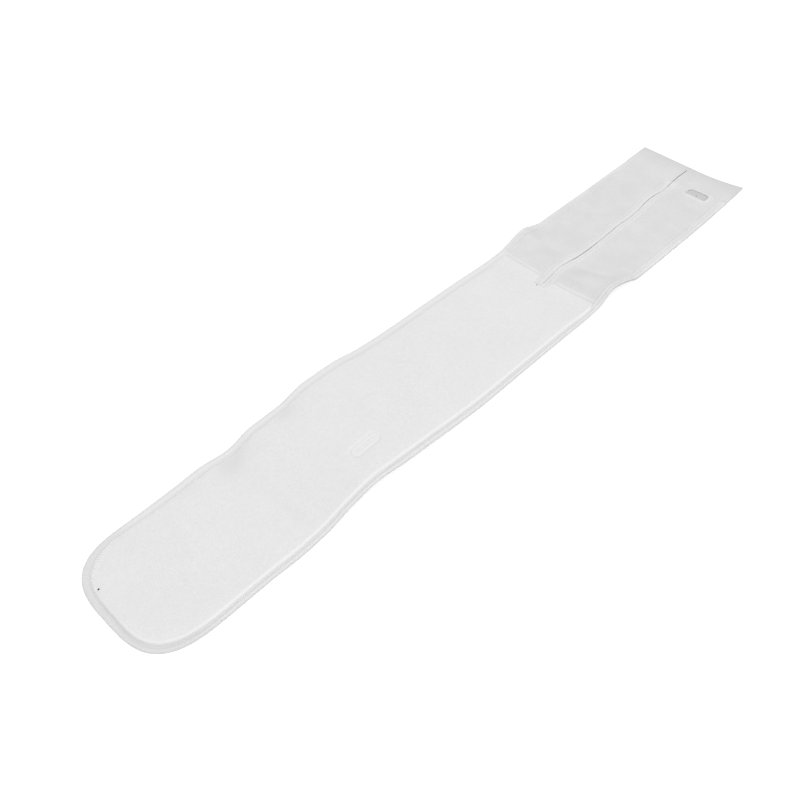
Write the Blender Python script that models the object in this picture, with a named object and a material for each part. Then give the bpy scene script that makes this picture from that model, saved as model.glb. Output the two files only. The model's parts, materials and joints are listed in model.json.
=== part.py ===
"""Rib brace lying on a flat surface: a long padded wrap with a slit pocket end.

Metres, +Z up. +X runs from the rounded tip to the square end and +Y to the far edge.
The origin is under the middle of the belt, on the surface that it lies on.
Each piece is first modelled flat in belt coordinates, x as the station from the square
end and y as the distance towards the near edge, and is then laid over the folds.
"""
from bisect import bisect_right
from collections import namedtuple
import math

import bmesh
import bpy
from mathutils import Vector

# Lengths along the belt
POCKET_LENGTH = 0.314
PAD_LENGTH = 0.637
TIP_DEPTH = 0.089
END_WRAP = 0.003
BAND_DEPTH_FAR = 0.0475
BAND_DEPTH_NEAR = 0.041
SLIT_START = 0.009
SEAM_RIDGE_WIDTH = 0.0055
STITCHED_FLAT = 0.020
PAD_RISE = 0.014
SLIT_OVERRUN = 0.012
TACK_LENGTH = 0.0025

# Widths across the belt
BELT_WIDTH = 0.151
EDGE_WIDTH = 0.007
PAD_SHOULDER = 0.012
PLACKET_WIDTH = 0.0105
FACING_WIDTH = 0.0095
TACK_NEAR_REACH = 0.005
SLIT_GAP = 0.0014

# Thicknesses
CLOTH = 0.0012
POCKET_ROOM = 0.0004
BAND_THICKNESS = 0.0010
HEM_THICKNESS = 0.0010
PLACKET_THICKNESS = 0.0015
FACING_THICKNESS = 0.0008
SEAM_RIDGE_THICKNESS = 0.0014
TACK_THICKNESS = 0.0012
PAD_THICKNESS = 0.0065
ROLL_THICKNESS = 0.0038
GAP = 0.0003

# Slot near the square end
SLOT_STATION = 0.0475
SLOT_FROM_EDGE = 0.038
SLOT_LENGTH = 0.028
SLOT_DEPTH = 0.012
SLOT_CORNER = 0.006
SLOT_TIP_CORNER = 0.001
RIM_MARGIN = 0.0065
RIM_CORNER = 0.006
RIM_THICKNESS = 0.0013
LABEL_THICKNESS = 0.0005

# Oval eyelet in the pad
EYELET_FROM_SEAM = 0.342
EYELET_FROM_EDGE = 0.044
EYELET_LENGTH = 0.037
EYELET_WIDTH = 0.0105
EYELET_BAND = 0.0026
EYELET_RISE = 0.0013

# How the belt lies
FOLD_HEIGHT = 0.020
FLAT_CORE = 0.15
BULGE_HEIGHT = 0.0024
TIP_SQUARENESS = 3.25
TIP_SLANT = 0.0013
END_SLANT = 0.0016
TIP_STEPS = 24
CORNER_STEPS = 4
LONGEST_STEP = 0.0095
SNAP = 0.00005
SHARP_ANGLE = math.radians(40)

# Folds of the underside. station: share of the belt's length from the square end.
# far, middle and near: shares of FOLD_HEIGHT at that edge or at the middle.
Fold = namedtuple("Fold", "station far middle near")
FOLDS = (
    Fold(0.000, 0.00, 0.00, 0.32),
    Fold(0.060, 0.00, 0.00, 0.14),
    Fold(0.125, 0.00, 0.00, 0.00),
    Fold(0.210, 0.05, 0.00, 0.00),
    Fold(0.252, 0.10, 0.00, 0.03),
    Fold(0.286, 0.64, 0.12, 0.68),
    Fold(0.305, 0.42, 0.16, 0.94),
    Fold(0.331, 0.06, 0.00, 0.30),
    Fold(0.363, 0.06, 0.00, 0.18),
    Fold(0.411, 0.18, 0.00, 0.20),
    Fold(0.474, 0.28, 0.08, 0.18),
    Fold(0.537, 0.36, 0.20, 0.14),
    Fold(0.589, 0.54, 0.40, 0.30),
    Fold(0.632, 0.90, 0.66, 0.52),
    Fold(0.674, 0.95, 0.82, 0.72),
    Fold(0.716, 0.52, 0.70, 1.00),
    Fold(0.753, 0.46, 0.42, 0.72),
    Fold(0.789, 0.00, 0.14, 0.18),
    Fold(0.826, 0.18, 0.00, 0.03),
    Fold(0.863, 0.06, 0.00, 0.12),
    Fold(0.916, 0.00, 0.00, 0.08),
    Fold(1.000, 0.15, 0.00, 0.00),
)

# How far the pocket's front stands off its back. station: share of the pocket's length.
# height: share of BULGE_HEIGHT on the middle line.
Bulge = namedtuple("Bulge", "station height")
BULGES = (
    Bulge(0.00, 0.0),
    Bulge(0.17, 0.0),
    Bulge(0.35, 1.0),
    Bulge(0.55, 0.5),
    Bulge(0.76, 0.0),
    Bulge(1.00, 0.0),
)

# Sections. inset: share of the piece's own width or shoulder from its outer edge.
# height: share of its own thickness.
Edge = namedtuple("Edge", "inset height")
PAD_SECTION = (
    Edge(0.10, 0.00),
    Edge(0.00, 0.12),
    Edge(0.00, 0.42),
    Edge(0.14, 0.70),
    Edge(0.42, 0.90),
    Edge(1.00, 1.00),
)
ROLL_SECTION = (
    Edge(0.08, 0.00),
    Edge(0.00, 0.20),
    Edge(0.05, 0.62),
    Edge(0.30, 0.96),
    Edge(0.62, 1.00),
    Edge(0.90, 0.66),
    Edge(1.00, 0.30),
    Edge(0.96, 0.00),
)
EYELET_SECTION = (
    Edge(0.00, 0.00),
    Edge(0.10, 0.65),
    Edge(0.50, 1.00),
    Edge(0.90, 0.65),
    Edge(1.00, 0.00),
)
HEM_SECTION = (
    Edge(0.00, 0.45),
    Edge(0.22, 1.00),
    Edge(0.50, 0.60),
    Edge(0.78, 1.00),
    Edge(1.00, 0.45),
)
PLACKET_SECTION = (
    Edge(0.00, 0.55),
    Edge(0.20, 1.00),
    Edge(0.45, 0.60),
    Edge(0.72, 1.00),
    Edge(1.00, 0.55),
)
FLAT_SECTION = (
    Edge(0.00, 1.00),
    Edge(1.00, 1.00),
)
RIDGE_SECTION = (
    Edge(0.00, 0.45),
    Edge(0.50, 1.00),
    Edge(1.00, 0.45),
)

# Places that follow from the sizes above
BELT_LENGTH = POCKET_LENGTH + PAD_LENGTH
HALF_WIDTH = BELT_WIDTH / 2
TIP_START = BELT_LENGTH - TIP_DEPTH
PAD_START = POCKET_LENGTH + GAP
FLAT_END = POCKET_LENGTH + STITCHED_FLAT
RISE_END = FLAT_END + PAD_RISE
RIDGE_START = POCKET_LENGTH - SEAM_RIDGE_WIDTH
SLIT_END = POCKET_LENGTH + SLIT_OVERRUN
TACK_START = SLIT_END + GAP
LAYER_START = END_WRAP + GAP
HEM_INNER = HALF_WIDTH - EDGE_WIDTH
SLIT_HALF = SLIT_GAP / 2
FRONT_UNDER = CLOTH + POCKET_ROOM
FRONT_TOP = FRONT_UNDER + CLOTH
TRIM_UNDER = FRONT_TOP + GAP
MIDDLE_STATION = (BELT_LENGTH - END_SLANT) / 2
SLOT_ACROSS = HALF_WIDTH - SLOT_FROM_EDGE
EYELET_STATION = POCKET_LENGTH + EYELET_FROM_SEAM
EYELET_ACROSS = HALF_WIDTH - EYELET_FROM_EDGE


def clear_scene():
    """Empty the file of objects."""
    for item in list(bpy.data.objects):
        bpy.data.objects.remove(item)


def filled_lines(borders):
    """All borders in order, with equal steps between them no longer than LONGEST_STEP."""
    ordered = sorted(set(borders))
    lines = [ordered[0]]
    for low, high in zip(ordered, ordered[1:]):
        steps = max(1, math.ceil((high - low) / LONGEST_STEP))
        lines.extend(low + (high - low) * k / steps for k in range(1, steps + 1))
    return lines


STATIONS = filled_lines((
    0.0, END_WRAP, SLIT_START, BAND_DEPTH_NEAR, BAND_DEPTH_FAR, RIDGE_START,
    POCKET_LENGTH, SLIT_END, FLAT_END, RISE_END, TIP_START, BELT_LENGTH,
))
ACROSS = sorted((
    -HALF_WIDTH, -HEM_INNER, -(HEM_INNER + PLACKET_WIDTH) / 2, -PLACKET_WIDTH,
    0.0, FACING_WIDTH, (HEM_INNER + FACING_WIDTH) / 2, HEM_INNER, HALF_WIDTH,
))


def row_slope(stations, values, row):
    """Slope of the smooth curve at one row: level at a crest or a valley."""
    if row in (0, len(stations) - 1):
        return 0.0
    before = (values[row] - values[row - 1]) / (stations[row] - stations[row - 1])
    after = (values[row + 1] - values[row]) / (stations[row + 1] - stations[row])
    if before * after <= 0:
        return 0.0
    return 2 * before * after / (before + after)


def smooth_value(stations, values, at):
    """Value at a station on a smooth curve through the rows that never overshoots them."""
    row = min(max(bisect_right(stations, at) - 1, 0), len(stations) - 2)
    span = stations[row + 1] - stations[row]
    t = (at - stations[row]) / span
    start = row_slope(stations, values, row) * span
    end = row_slope(stations, values, row + 1) * span
    rise = values[row + 1] - values[row]
    return values[row] + start * t + (3 * rise - 2 * start - end) * t ** 2 + (start + end - 2 * rise) * t ** 3


FOLD_STATIONS = [fold.station for fold in FOLDS]
FAR_HEIGHTS = [fold.far for fold in FOLDS]
MIDDLE_HEIGHTS = [fold.middle for fold in FOLDS]
NEAR_HEIGHTS = [fold.near for fold in FOLDS]
BULGE_STATIONS = [bulge.station for bulge in BULGES]
BULGE_HEIGHTS = [bulge.height for bulge in BULGES]


def fold_height(station, across):
    """Height of the folded underside: the middle keeps level, and the edges curl from it."""
    share = station / BELT_LENGTH
    edge_heights = NEAR_HEIGHTS if across > 0 else FAR_HEIGHTS
    middle = smooth_value(FOLD_STATIONS, MIDDLE_HEIGHTS, share)
    edge = smooth_value(FOLD_STATIONS, edge_heights, share)
    curl = max(0.0, abs(across) / HALF_WIDTH - FLAT_CORE) / (1 - FLAT_CORE)
    return FOLD_HEIGHT * (middle + (edge - middle) * curl ** 2)


def bulge_height(station, across):
    """How far the front of the pocket stands off its back."""
    share = station / POCKET_LENGTH
    if share >= 1:
        return 0.0
    reach = min(1.0, abs(across) / HEM_INNER)
    return BULGE_HEIGHT * smooth_value(BULGE_STATIONS, BULGE_HEIGHTS, share) * (1 - reach ** 2)


BACK_HEIGHTS = [[fold_height(s, w) for w in ACROSS] for s in STATIONS]
FRONT_HEIGHTS = [[fold_height(s, w) + bulge_height(s, w) for w in ACROSS] for s in STATIONS]


def lift(station, across, front):
    """Height of the laid belt, straight between the shared lines so that layers stay parallel."""
    heights = FRONT_HEIGHTS if front else BACK_HEIGHTS
    i = min(max(bisect_right(STATIONS, station) - 1, 0), len(STATIONS) - 2)
    j = min(max(bisect_right(ACROSS, across) - 1, 0), len(ACROSS) - 2)
    u = (station - STATIONS[i]) / (STATIONS[i + 1] - STATIONS[i])
    v = (across - ACROSS[j]) / (ACROSS[j + 1] - ACROSS[j])
    low = heights[i][j] * (1 - u) + heights[i + 1][j] * u
    high = heights[i][j + 1] * (1 - u) + heights[i + 1][j + 1] * u
    return low * (1 - v) + high * v


def cloth_material(name, grey, roughness):
    """Plain cloth finish of one piece."""
    material = bpy.data.materials.new(name)
    material.use_nodes = True
    shader = material.node_tree.nodes["Principled BSDF"]
    shader.inputs["Base Color"].default_value = (grey, grey, grey, 1.0)
    shader.inputs["Roughness"].default_value = roughness
    shader.inputs["Metallic"].default_value = 0.0
    return material


def lay_piece(bm, name, grey, roughness=0.9, front=False):
    """Lay a flat piece over the folds and make it an object of the scene."""
    bmesh.ops.recalc_face_normals(bm, faces=bm.faces)
    for vert in bm.verts:
        station, across, height = vert.co
        height += lift(station, across, front)
        slanted = max(0.0, 1 - station / BAND_DEPTH_FAR)
        station -= END_SLANT * slanted * across / HALF_WIDTH
        vert.co = Vector((MIDDLE_STATION - station, -across, height))
    mesh = bpy.data.meshes.new(name)
    bm.to_mesh(mesh)
    bm.free()
    mesh.shade_smooth()
    mesh.set_sharp_from_angle(angle=SHARP_ANGLE)
    mesh.materials.append(cloth_material(name + "_finish", grey, roughness))
    piece = bpy.data.objects.new(name, mesh)
    bpy.context.scene.collection.objects.link(piece)
    return piece


def lines_between(lines, low, high, more=()):
    """The two ends and every shared or extra line between them."""
    inner = [line for line in (*lines, *more) if low + SNAP < line < high - SNAP]
    return [low, *sorted(set(inner)), high]


def section_height(section, share):
    """Height share of a section at a share of its width."""
    insets = [edge.inset for edge in section]
    k = min(max(bisect_right(insets, share) - 1, 0), len(section) - 2)
    t = (share - insets[k]) / (insets[k + 1] - insets[k])
    return section[k].height * (1 - t) + section[k + 1].height * t


def sheet_solid(stations, across, under, top_of, keep=None):
    """Closed cloth layer over a grid of lines, split the same way above and below."""
    bm = bmesh.new()
    columns = len(stations) - 1
    rows = len(across) - 1
    bmesh.ops.create_grid(bm, x_segments=columns, y_segments=rows, size=1.0)
    bmesh.ops.triangulate(bm, faces=bm.faces, quad_method="FIXED")
    for vert in bm.verts:
        i = round((vert.co.x + 1) / 2 * columns)
        j = round((vert.co.y + 1) / 2 * rows)
        vert.co = Vector((stations[i], across[j], under))
    if keep:
        dropped = [face for face in bm.faces if not keep(face.calc_center_median())]
        bmesh.ops.delete(bm, geom=dropped, context="FACES")
    grown = bmesh.ops.extrude_face_region(bm, geom=bm.faces, use_keep_orig=True)
    for vert in grown["geom"]:
        if isinstance(vert, bmesh.types.BMVert):
            vert.co.z = top_of(vert.co)
    return bm


def strip_solid(start, end, low, high, under, thickness, section, along=False, more=()):
    """Cloth layer whose top follows a section across its width, or along the belt."""
    low_side, high_side = (start, end) if along else (low, high)
    width = high_side - low_side
    cuts = [low_side + width * edge.inset for edge in section[1:-1]]
    stations = lines_between(STATIONS, start, end, (*more, *cuts) if along else more)
    across = lines_between(ACROSS, low, high, () if along else cuts)

    def top_of(place):
        share = ((place.x if along else place.y) - low_side) / width
        return under + thickness * section_height(section, share)

    return sheet_solid(stations, across, under, top_of)


def loop_solid(loops, joined):
    """Solid from loops of points in order: joined end to end as a ring, or capped."""
    bm = bmesh.new()
    rings = [[bm.verts.new(point) for point in loop] for loop in loops]
    following = rings[1:] + rings[:1] if joined else rings[1:]
    for ring, other in zip(rings, following):
        for k in range(len(ring)):
            nxt = (k + 1) % len(ring)
            bm.faces.new((ring[k], ring[nxt], other[nxt], other[k]))
    if not joined:
        bm.faces.new(rings[0])
        bm.faces.new(rings[-1])
    return bm


def cut_lines(bm, stations, across):
    """Cut a flat solid along lines of the belt, so that it can follow the folds."""
    planes = [((line, 0, 0), (1, 0, 0)) for line in stations]
    planes += [((0, line, 0), (0, 1, 0)) for line in across]
    for place, normal in planes:
        geom = [*bm.verts, *bm.edges, *bm.faces]
        bmesh.ops.bisect_plane(bm, geom=geom, dist=SNAP, plane_co=place, plane_no=normal)


def outline(inset, start):
    """Points round the padded end at an inset, from the near side by the tip to the far side."""
    half = HALF_WIDTH - inset
    depth = TIP_DEPTH - inset
    power = 2 / TIP_SQUARENESS
    points = [(start, half)]
    for step in range(TIP_STEPS + 1):
        angle = math.pi * step / TIP_STEPS
        c = math.cos(angle)
        s = math.sin(angle)
        across = math.copysign(abs(c) ** power, c)
        along = abs(s) ** power
        points.append((TIP_START + depth * along + TIP_SLANT * along * across, half * across))
    points.append((start, -half))
    return points


def rounded_box(length, width, tip_corner, end_corner):
    """Outline about the origin, with one corner radius towards the tip and one away from it."""
    points = []
    for sign_s, sign_w, corner in ((1, 1, tip_corner), (-1, 1, end_corner),
                                   (-1, -1, end_corner), (1, -1, tip_corner)):
        radius = min(corner, length / 2, width / 2)
        turn = 0 if sign_s == sign_w else 1
        for step in range(CORNER_STEPS + 1):
            share = step / CORNER_STEPS
            angle = math.pi / 2 * (1 - share if turn else share)
            points.append((
                sign_s * (length / 2 - radius + radius * math.cos(angle)),
                sign_w * (width / 2 - radius + radius * math.sin(angle)),
            ))
    return points


def shifted(points, station, across, height):
    """A flat outline moved to its place on the belt."""
    return [(station + s, across + w, height) for s, w in points]


def make_pad():
    """The plump napped pad inside the edge roll, stitched flat where it meets the pocket."""
    loops = []
    for edge in PAD_SECTION:
        inset = PAD_SHOULDER * edge.inset
        ring = outline(EDGE_WIDTH + GAP + inset, PAD_START + inset)
        loops.append([(s, w, PAD_THICKNESS * edge.height) for s, w in ring])
    bm = loop_solid(loops, joined=False)
    inner = ACROSS[2:-2]
    cut_lines(bm, [s for s in STATIONS if PAD_START + SNAP < s < BELT_LENGTH], inner)
    flat_share = FRONT_TOP / PAD_THICKNESS
    for vert in bm.verts:
        t = min(1.0, max(0.0, (vert.co.x - FLAT_END) / PAD_RISE))
        vert.co.z *= flat_share + (1 - flat_share) * t * t * (3 - 2 * t)
    return lay_piece(bm, "pad", grey=0.80)


def make_edge_roll():
    """The overcast roll round the pad's two long edges and its tip."""
    paths = [outline(EDGE_WIDTH * edge.inset, PAD_START) for edge in ROLL_SECTION]
    heights = [ROLL_THICKNESS * edge.height for edge in ROLL_SECTION]
    loops = [
        [(s, w, height) for (s, w), height in zip(places, heights)]
        for places in zip(*paths)
    ]
    bm = loop_solid(loops, joined=False)
    cut_lines(bm, [s for s in STATIONS if PAD_START + SNAP < s < TIP_START - SNAP], ())
    return lay_piece(bm, "edge_roll", grey=0.78)


def make_pocket_layers():
    """The back and the two front panels of the pocket, open along the middle slit."""
    back = strip_solid(LAYER_START, POCKET_LENGTH, -HALF_WIDTH, HALF_WIDTH, 0.0, CLOTH, FLAT_SECTION)
    lay_piece(back, "pocket_back", grey=0.74)
    sides = (("pocket_panel_far", -HALF_WIDTH, -SLIT_HALF), ("pocket_panel_near", SLIT_HALF, HALF_WIDTH))
    for name, low, high in sides:
        panel = strip_solid(LAYER_START, POCKET_LENGTH, low, high, FRONT_UNDER, CLOTH, FLAT_SECTION)
        lay_piece(panel, name, grey=0.72, roughness=0.8, front=True)


def make_pocket_hems():
    """The twice-stitched hem along each outer edge of the pocket, from the band to the pad."""
    sides = (
        ("pocket_hem_far", BAND_DEPTH_FAR, -HALF_WIDTH, -HEM_INNER),
        ("pocket_hem_near", BAND_DEPTH_NEAR, HEM_INNER, HALF_WIDTH),
    )
    for name, depth, low, high in sides:
        hem = strip_solid(depth + GAP, POCKET_LENGTH, low, high, TRIM_UNDER, HEM_THICKNESS, HEM_SECTION)
        lay_piece(hem, name, grey=0.75, roughness=0.8, front=True)


def make_slit_edges():
    """The ribbed placket on the far side of the slit and the flat facing on its near side."""
    placket = strip_solid(
        BAND_DEPTH_FAR + GAP, SLIT_END, -PLACKET_WIDTH, -SLIT_HALF,
        TRIM_UNDER, PLACKET_THICKNESS, PLACKET_SECTION,
    )
    lay_piece(placket, "slit_placket", grey=0.77, roughness=0.8, front=True)
    facing = strip_solid(
        BAND_DEPTH_NEAR + GAP, SLIT_END, SLIT_HALF, FACING_WIDTH,
        TRIM_UNDER, FACING_THICKNESS, FLAT_SECTION,
    )
    lay_piece(facing, "slit_facing", grey=0.75, roughness=0.8, front=True)


def make_seam_ridges():
    """The folded ridge where the pocket meets the pad, broken by the slit's edges."""
    sides = (
        ("seam_ridge_far", -HEM_INNER + GAP, -PLACKET_WIDTH - GAP),
        ("seam_ridge_near", FACING_WIDTH + GAP, HEM_INNER - GAP),
    )
    for name, low, high in sides:
        ridge = strip_solid(
            RIDGE_START, POCKET_LENGTH, low, high, TRIM_UNDER, SEAM_RIDGE_THICKNESS,
            RIDGE_SECTION, along=True,
        )
        lay_piece(ridge, name, grey=0.77, roughness=0.8, front=True)


def make_bar_tack():
    """The bar of thread that closes the slit on the stitched-flat start of the pad."""
    tack = strip_solid(
        TACK_START, TACK_START + TACK_LENGTH, -PLACKET_WIDTH, TACK_NEAR_REACH,
        TRIM_UNDER, TACK_THICKNESS, RIDGE_SECTION, along=True,
    )
    lay_piece(tack, "bar_tack", grey=0.78, roughness=0.7, front=True)


def make_end_band():
    """The hemmed band of the square end, slit in the middle and notched round the slot's rim."""
    rim_start = SLOT_STATION - SLOT_DEPTH / 2 - RIM_MARGIN - GAP
    rim_low = SLOT_ACROSS - SLOT_LENGTH / 2 - RIM_MARGIN - GAP
    rim_high = SLOT_ACROSS + SLOT_LENGTH / 2 + RIM_MARGIN + GAP
    deepest = max(BAND_DEPTH_FAR, BAND_DEPTH_NEAR)
    more = (rim_start, min(BAND_DEPTH_FAR, BAND_DEPTH_NEAR))
    stations = lines_between(STATIONS, 0.0, deepest, more)
    across = lines_between(ACROSS, -HALF_WIDTH, HALF_WIDTH, (-SLIT_HALF, SLIT_HALF, rim_low, rim_high))

    def keep(place):
        in_slit = abs(place.y) < SLIT_HALF and place.x > SLIT_START
        in_rim = rim_low < place.y < rim_high and place.x > rim_start
        depth = BAND_DEPTH_NEAR if place.y > 0 else BAND_DEPTH_FAR
        return not in_slit and not in_rim and place.x < depth

    band = sheet_solid(stations, across, TRIM_UNDER, lambda place: TRIM_UNDER + BAND_THICKNESS, keep)
    band.faces.ensure_lookup_table()
    wrap = [
        face for face in band.faces
        if face.calc_center_median().x < END_WRAP
        and all(abs(vert.co.z - TRIM_UNDER) < SNAP for vert in face.verts)
    ]
    lowered = bmesh.ops.extrude_face_region(band, geom=wrap, use_keep_orig=True)
    for vert in lowered["geom"]:
        if isinstance(vert, bmesh.types.BMVert):
            vert.co.z = 0.0
    bmesh.ops.delete(band, geom=wrap, context="FACES")
    lay_piece(band, "end_band", grey=0.71, roughness=0.8, front=True)


def make_slot():
    """The stitched rim round the slot of the near panel, with a blank patch inside it."""
    outer = rounded_box(SLOT_DEPTH + 2 * RIM_MARGIN, SLOT_LENGTH + 2 * RIM_MARGIN, RIM_CORNER, RIM_CORNER)
    inner = rounded_box(SLOT_DEPTH, SLOT_LENGTH, SLOT_TIP_CORNER, SLOT_CORNER)
    low = TRIM_UNDER
    high = TRIM_UNDER + RIM_THICKNESS
    place = (SLOT_STATION, SLOT_ACROSS)
    loops = [
        shifted(outer, *place, low), shifted(outer, *place, high),
        shifted(inner, *place, high), shifted(inner, *place, low),
    ]
    rim = loop_solid(loops, joined=True)
    lay_piece(rim, "slot_rim", grey=0.77, roughness=0.8, front=True)
    patch = rounded_box(SLOT_DEPTH - 2 * GAP, SLOT_LENGTH - 2 * GAP, SLOT_TIP_CORNER, SLOT_CORNER)
    label = loop_solid(
        [shifted(patch, *place, low), shifted(patch, *place, low + LABEL_THICKNESS)], joined=False,
    )
    lay_piece(label, "slot_patch", grey=0.45, roughness=0.6, front=True)


def make_eyelet():
    """The oval stitched ring on the pad, with a sunken groove inside it."""
    loops = []
    for edge in EYELET_SECTION:
        inset = EYELET_BAND * edge.inset
        width = EYELET_WIDTH - 2 * inset
        ring = rounded_box(EYELET_LENGTH - 2 * inset, width, width / 2, width / 2)
        height = PAD_THICKNESS + GAP + EYELET_RISE * edge.height
        loops.append(shifted(ring, EYELET_STATION, EYELET_ACROSS, height))
    lay_piece(loop_solid(loops, joined=True), "oval_eyelet", grey=0.82)


def main():
    clear_scene()
    make_pocket_layers()
    make_pocket_hems()
    make_slit_edges()
    make_seam_ridges()
    make_end_band()
    make_slot()
    make_pad()
    make_edge_roll()
    make_bar_tack()
    make_eyelet()


main()
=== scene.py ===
"""Rib brace lying on a pale studio floor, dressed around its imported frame.

Metres. Each piece is first made flat in belt coordinates: x is the station from the
square end, y the distance towards the near edge and z the height above the underside.
It is then laid over the folds of the belt.
"""
from collections import namedtuple
import json
import math

import bpy
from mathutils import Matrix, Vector
from mathutils.bvhtree import BVHTree
import numpy as np

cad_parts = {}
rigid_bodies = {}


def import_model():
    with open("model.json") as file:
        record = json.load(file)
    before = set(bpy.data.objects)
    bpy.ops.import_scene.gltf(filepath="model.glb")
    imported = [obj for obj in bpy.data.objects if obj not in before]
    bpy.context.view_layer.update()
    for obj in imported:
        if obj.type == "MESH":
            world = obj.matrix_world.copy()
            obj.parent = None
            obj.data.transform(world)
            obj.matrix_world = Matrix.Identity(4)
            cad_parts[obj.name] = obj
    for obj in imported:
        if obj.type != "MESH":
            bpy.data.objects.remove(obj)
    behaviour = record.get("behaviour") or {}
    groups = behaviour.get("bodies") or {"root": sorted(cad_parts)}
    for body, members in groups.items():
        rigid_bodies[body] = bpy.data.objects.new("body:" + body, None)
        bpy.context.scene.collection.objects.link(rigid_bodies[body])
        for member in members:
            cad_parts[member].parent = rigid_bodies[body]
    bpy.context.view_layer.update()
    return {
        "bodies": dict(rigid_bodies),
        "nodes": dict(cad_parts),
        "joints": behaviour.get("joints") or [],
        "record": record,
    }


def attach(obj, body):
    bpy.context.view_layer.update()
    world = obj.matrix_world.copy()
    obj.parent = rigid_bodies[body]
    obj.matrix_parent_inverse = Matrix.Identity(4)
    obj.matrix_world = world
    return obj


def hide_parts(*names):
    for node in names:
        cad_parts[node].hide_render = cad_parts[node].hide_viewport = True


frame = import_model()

bl_info = {
    "name": "Rib Brace",
    "version": (1, 0, 0),
    "blender": (4, 5, 0),
    "location": "View3D > Sidebar > Rib Brace",
    "description": "Dresses a laid rib brace: napped pad, overcast edge and slit pocket end",
    "category": "Object",
}

# Lengths along the belt
POCKET_LENGTH = 0.314
PAD_LENGTH = 0.637
TIP_DEPTH = 0.089
END_WRAP = 0.003
BAND_DEPTH_FAR = 0.0475
BAND_DEPTH_NEAR = 0.041
BAND_ROW = 0.0062
SLIT_START = 0.009
SEAM_RIDGE_WIDTH = 0.0055
STITCHED_FLAT = 0.020
PAD_RISE = 0.014
SLIT_OVERRUN = 0.012
TACK_LENGTH = 0.0025

# Widths across the belt
BELT_WIDTH = 0.151
EDGE_WIDTH = 0.007
HEM_REACH = 0.0096
HEM_OVERRUN = 0.008
NEAR_ROLL_WIDTH = 0.0050
FAR_ROLL_WIDTH = 0.0092
PAD_SHOULDER = 0.012
PLACKET_WIDTH = 0.0105
FACING_WIDTH = 0.0095
TACK_NEAR_REACH = 0.005
SLIT_EDGE = 0.0005

# Thicknesses
CLOTH = 0.0012
POCKET_ROOM = 0.0004
BAND_THICKNESS = 0.0010
HEM_THICKNESS = 0.0010
PLACKET_THICKNESS = 0.0015
FACING_THICKNESS = 0.0008
SEAM_RIDGE_THICKNESS = 0.0014
TACK_THICKNESS = 0.0012
PAD_THICKNESS = 0.0065
ROLL_THICKNESS = 0.0038
GAP = 0.0003

# Slot near the square end
SLOT_STATION = 0.0475
SLOT_FROM_EDGE = 0.038
SLOT_LENGTH = 0.028
SLOT_DEPTH = 0.012
SLOT_CORNER = 0.006
SLOT_TIP_CORNER = 0.001
RIM_MARGIN = 0.0065
RIM_CORNER = 0.006
RIM_THICKNESS = 0.0013
LABEL_THICKNESS = 0.0005

# Oval eyelet in the pad
EYELET_FROM_SEAM = 0.343
EYELET_FROM_EDGE = 0.0412
EYELET_LENGTH = 0.0350
EYELET_WIDTH = 0.0105
EYELET_BAND = 0.0026
EYELET_CREST = 0.0013

# How the belt lies
FOLD_HEIGHT = 0.020
FLAT_CORE = 0.15
BULGE_HEIGHT = 0.0024
TIP_SQUARENESS = 3.25
TIP_SLANT = 0.0013
END_SLANT = 0.0016

# Folds of the underside. station: share of the belt's length from the square end.
# far, middle and near: shares of FOLD_HEIGHT at that edge or at the middle.
Fold = namedtuple("Fold", "station far middle near")
FOLDS = (
    Fold(0.000, 0.00, 0.00, 0.32),
    Fold(0.060, 0.00, 0.00, 0.14),
    Fold(0.125, 0.00, 0.00, 0.00),
    Fold(0.210, 0.05, 0.00, 0.00),
    Fold(0.246, 0.08, 0.00, 0.05),
    Fold(0.268, 0.34, 0.07, 0.46),
    Fold(0.286, 0.62, 0.13, 0.76),
    Fold(0.305, 0.42, 0.16, 0.94),
    Fold(0.331, 0.06, 0.00, 0.30),
    Fold(0.363, 0.06, 0.00, 0.18),
    Fold(0.411, 0.18, 0.00, 0.20),
    Fold(0.474, 0.28, 0.08, 0.18),
    Fold(0.537, 0.36, 0.20, 0.14),
    Fold(0.589, 0.54, 0.40, 0.30),
    Fold(0.632, 0.90, 0.66, 0.52),
    Fold(0.674, 0.95, 0.82, 0.72),
    Fold(0.716, 0.52, 0.70, 1.00),
    Fold(0.753, 0.46, 0.42, 0.72),
    Fold(0.789, 0.00, 0.14, 0.18),
    Fold(0.826, 0.18, 0.00, 0.03),
    Fold(0.863, 0.06, 0.00, 0.12),
    Fold(0.916, 0.00, 0.00, 0.08),
    Fold(1.000, 0.15, 0.00, 0.00),
)

# How far the pocket's front stands off its back. station: share of the pocket's length.
# height: share of BULGE_HEIGHT on the middle line.
Bulge = namedtuple("Bulge", "station height")
BULGES = (
    Bulge(0.00, 0.0),
    Bulge(0.17, 0.0),
    Bulge(0.35, 1.0),
    Bulge(0.55, 0.5),
    Bulge(0.76, 0.0),
    Bulge(1.00, 0.0),
)

# How the slit wanders and gapes. station, shift towards the near edge and half of the gape.
Slit = namedtuple("Slit", "station shift gape")
SLITS = (
    Slit(0.000, -0.0026, 0.00005),
    Slit(0.012, -0.0028, 0.00035),
    Slit(0.030, -0.0031, 0.00050),
    Slit(0.050, -0.0022, 0.00018),
    Slit(0.068, -0.0004, -0.00012),
    Slit(0.090, -0.0018, 0.00008),
    Slit(0.112, -0.0008, 0.00005),
    Slit(0.130, 0.0017, -0.00005),
    Slit(0.152, 0.0020, -0.00008),
    Slit(0.174, 0.0004, 0.00002),
    Slit(0.205, 0.0012, -0.00006),
    Slit(0.238, 0.0010, 0.00026),
    Slit(0.258, 0.0009, 0.00028),
    Slit(0.277, -0.0012, -0.00004),
    Slit(0.300, -0.0014, -0.00012),
    Slit(0.326, -0.0006, -0.00010),
)

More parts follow.
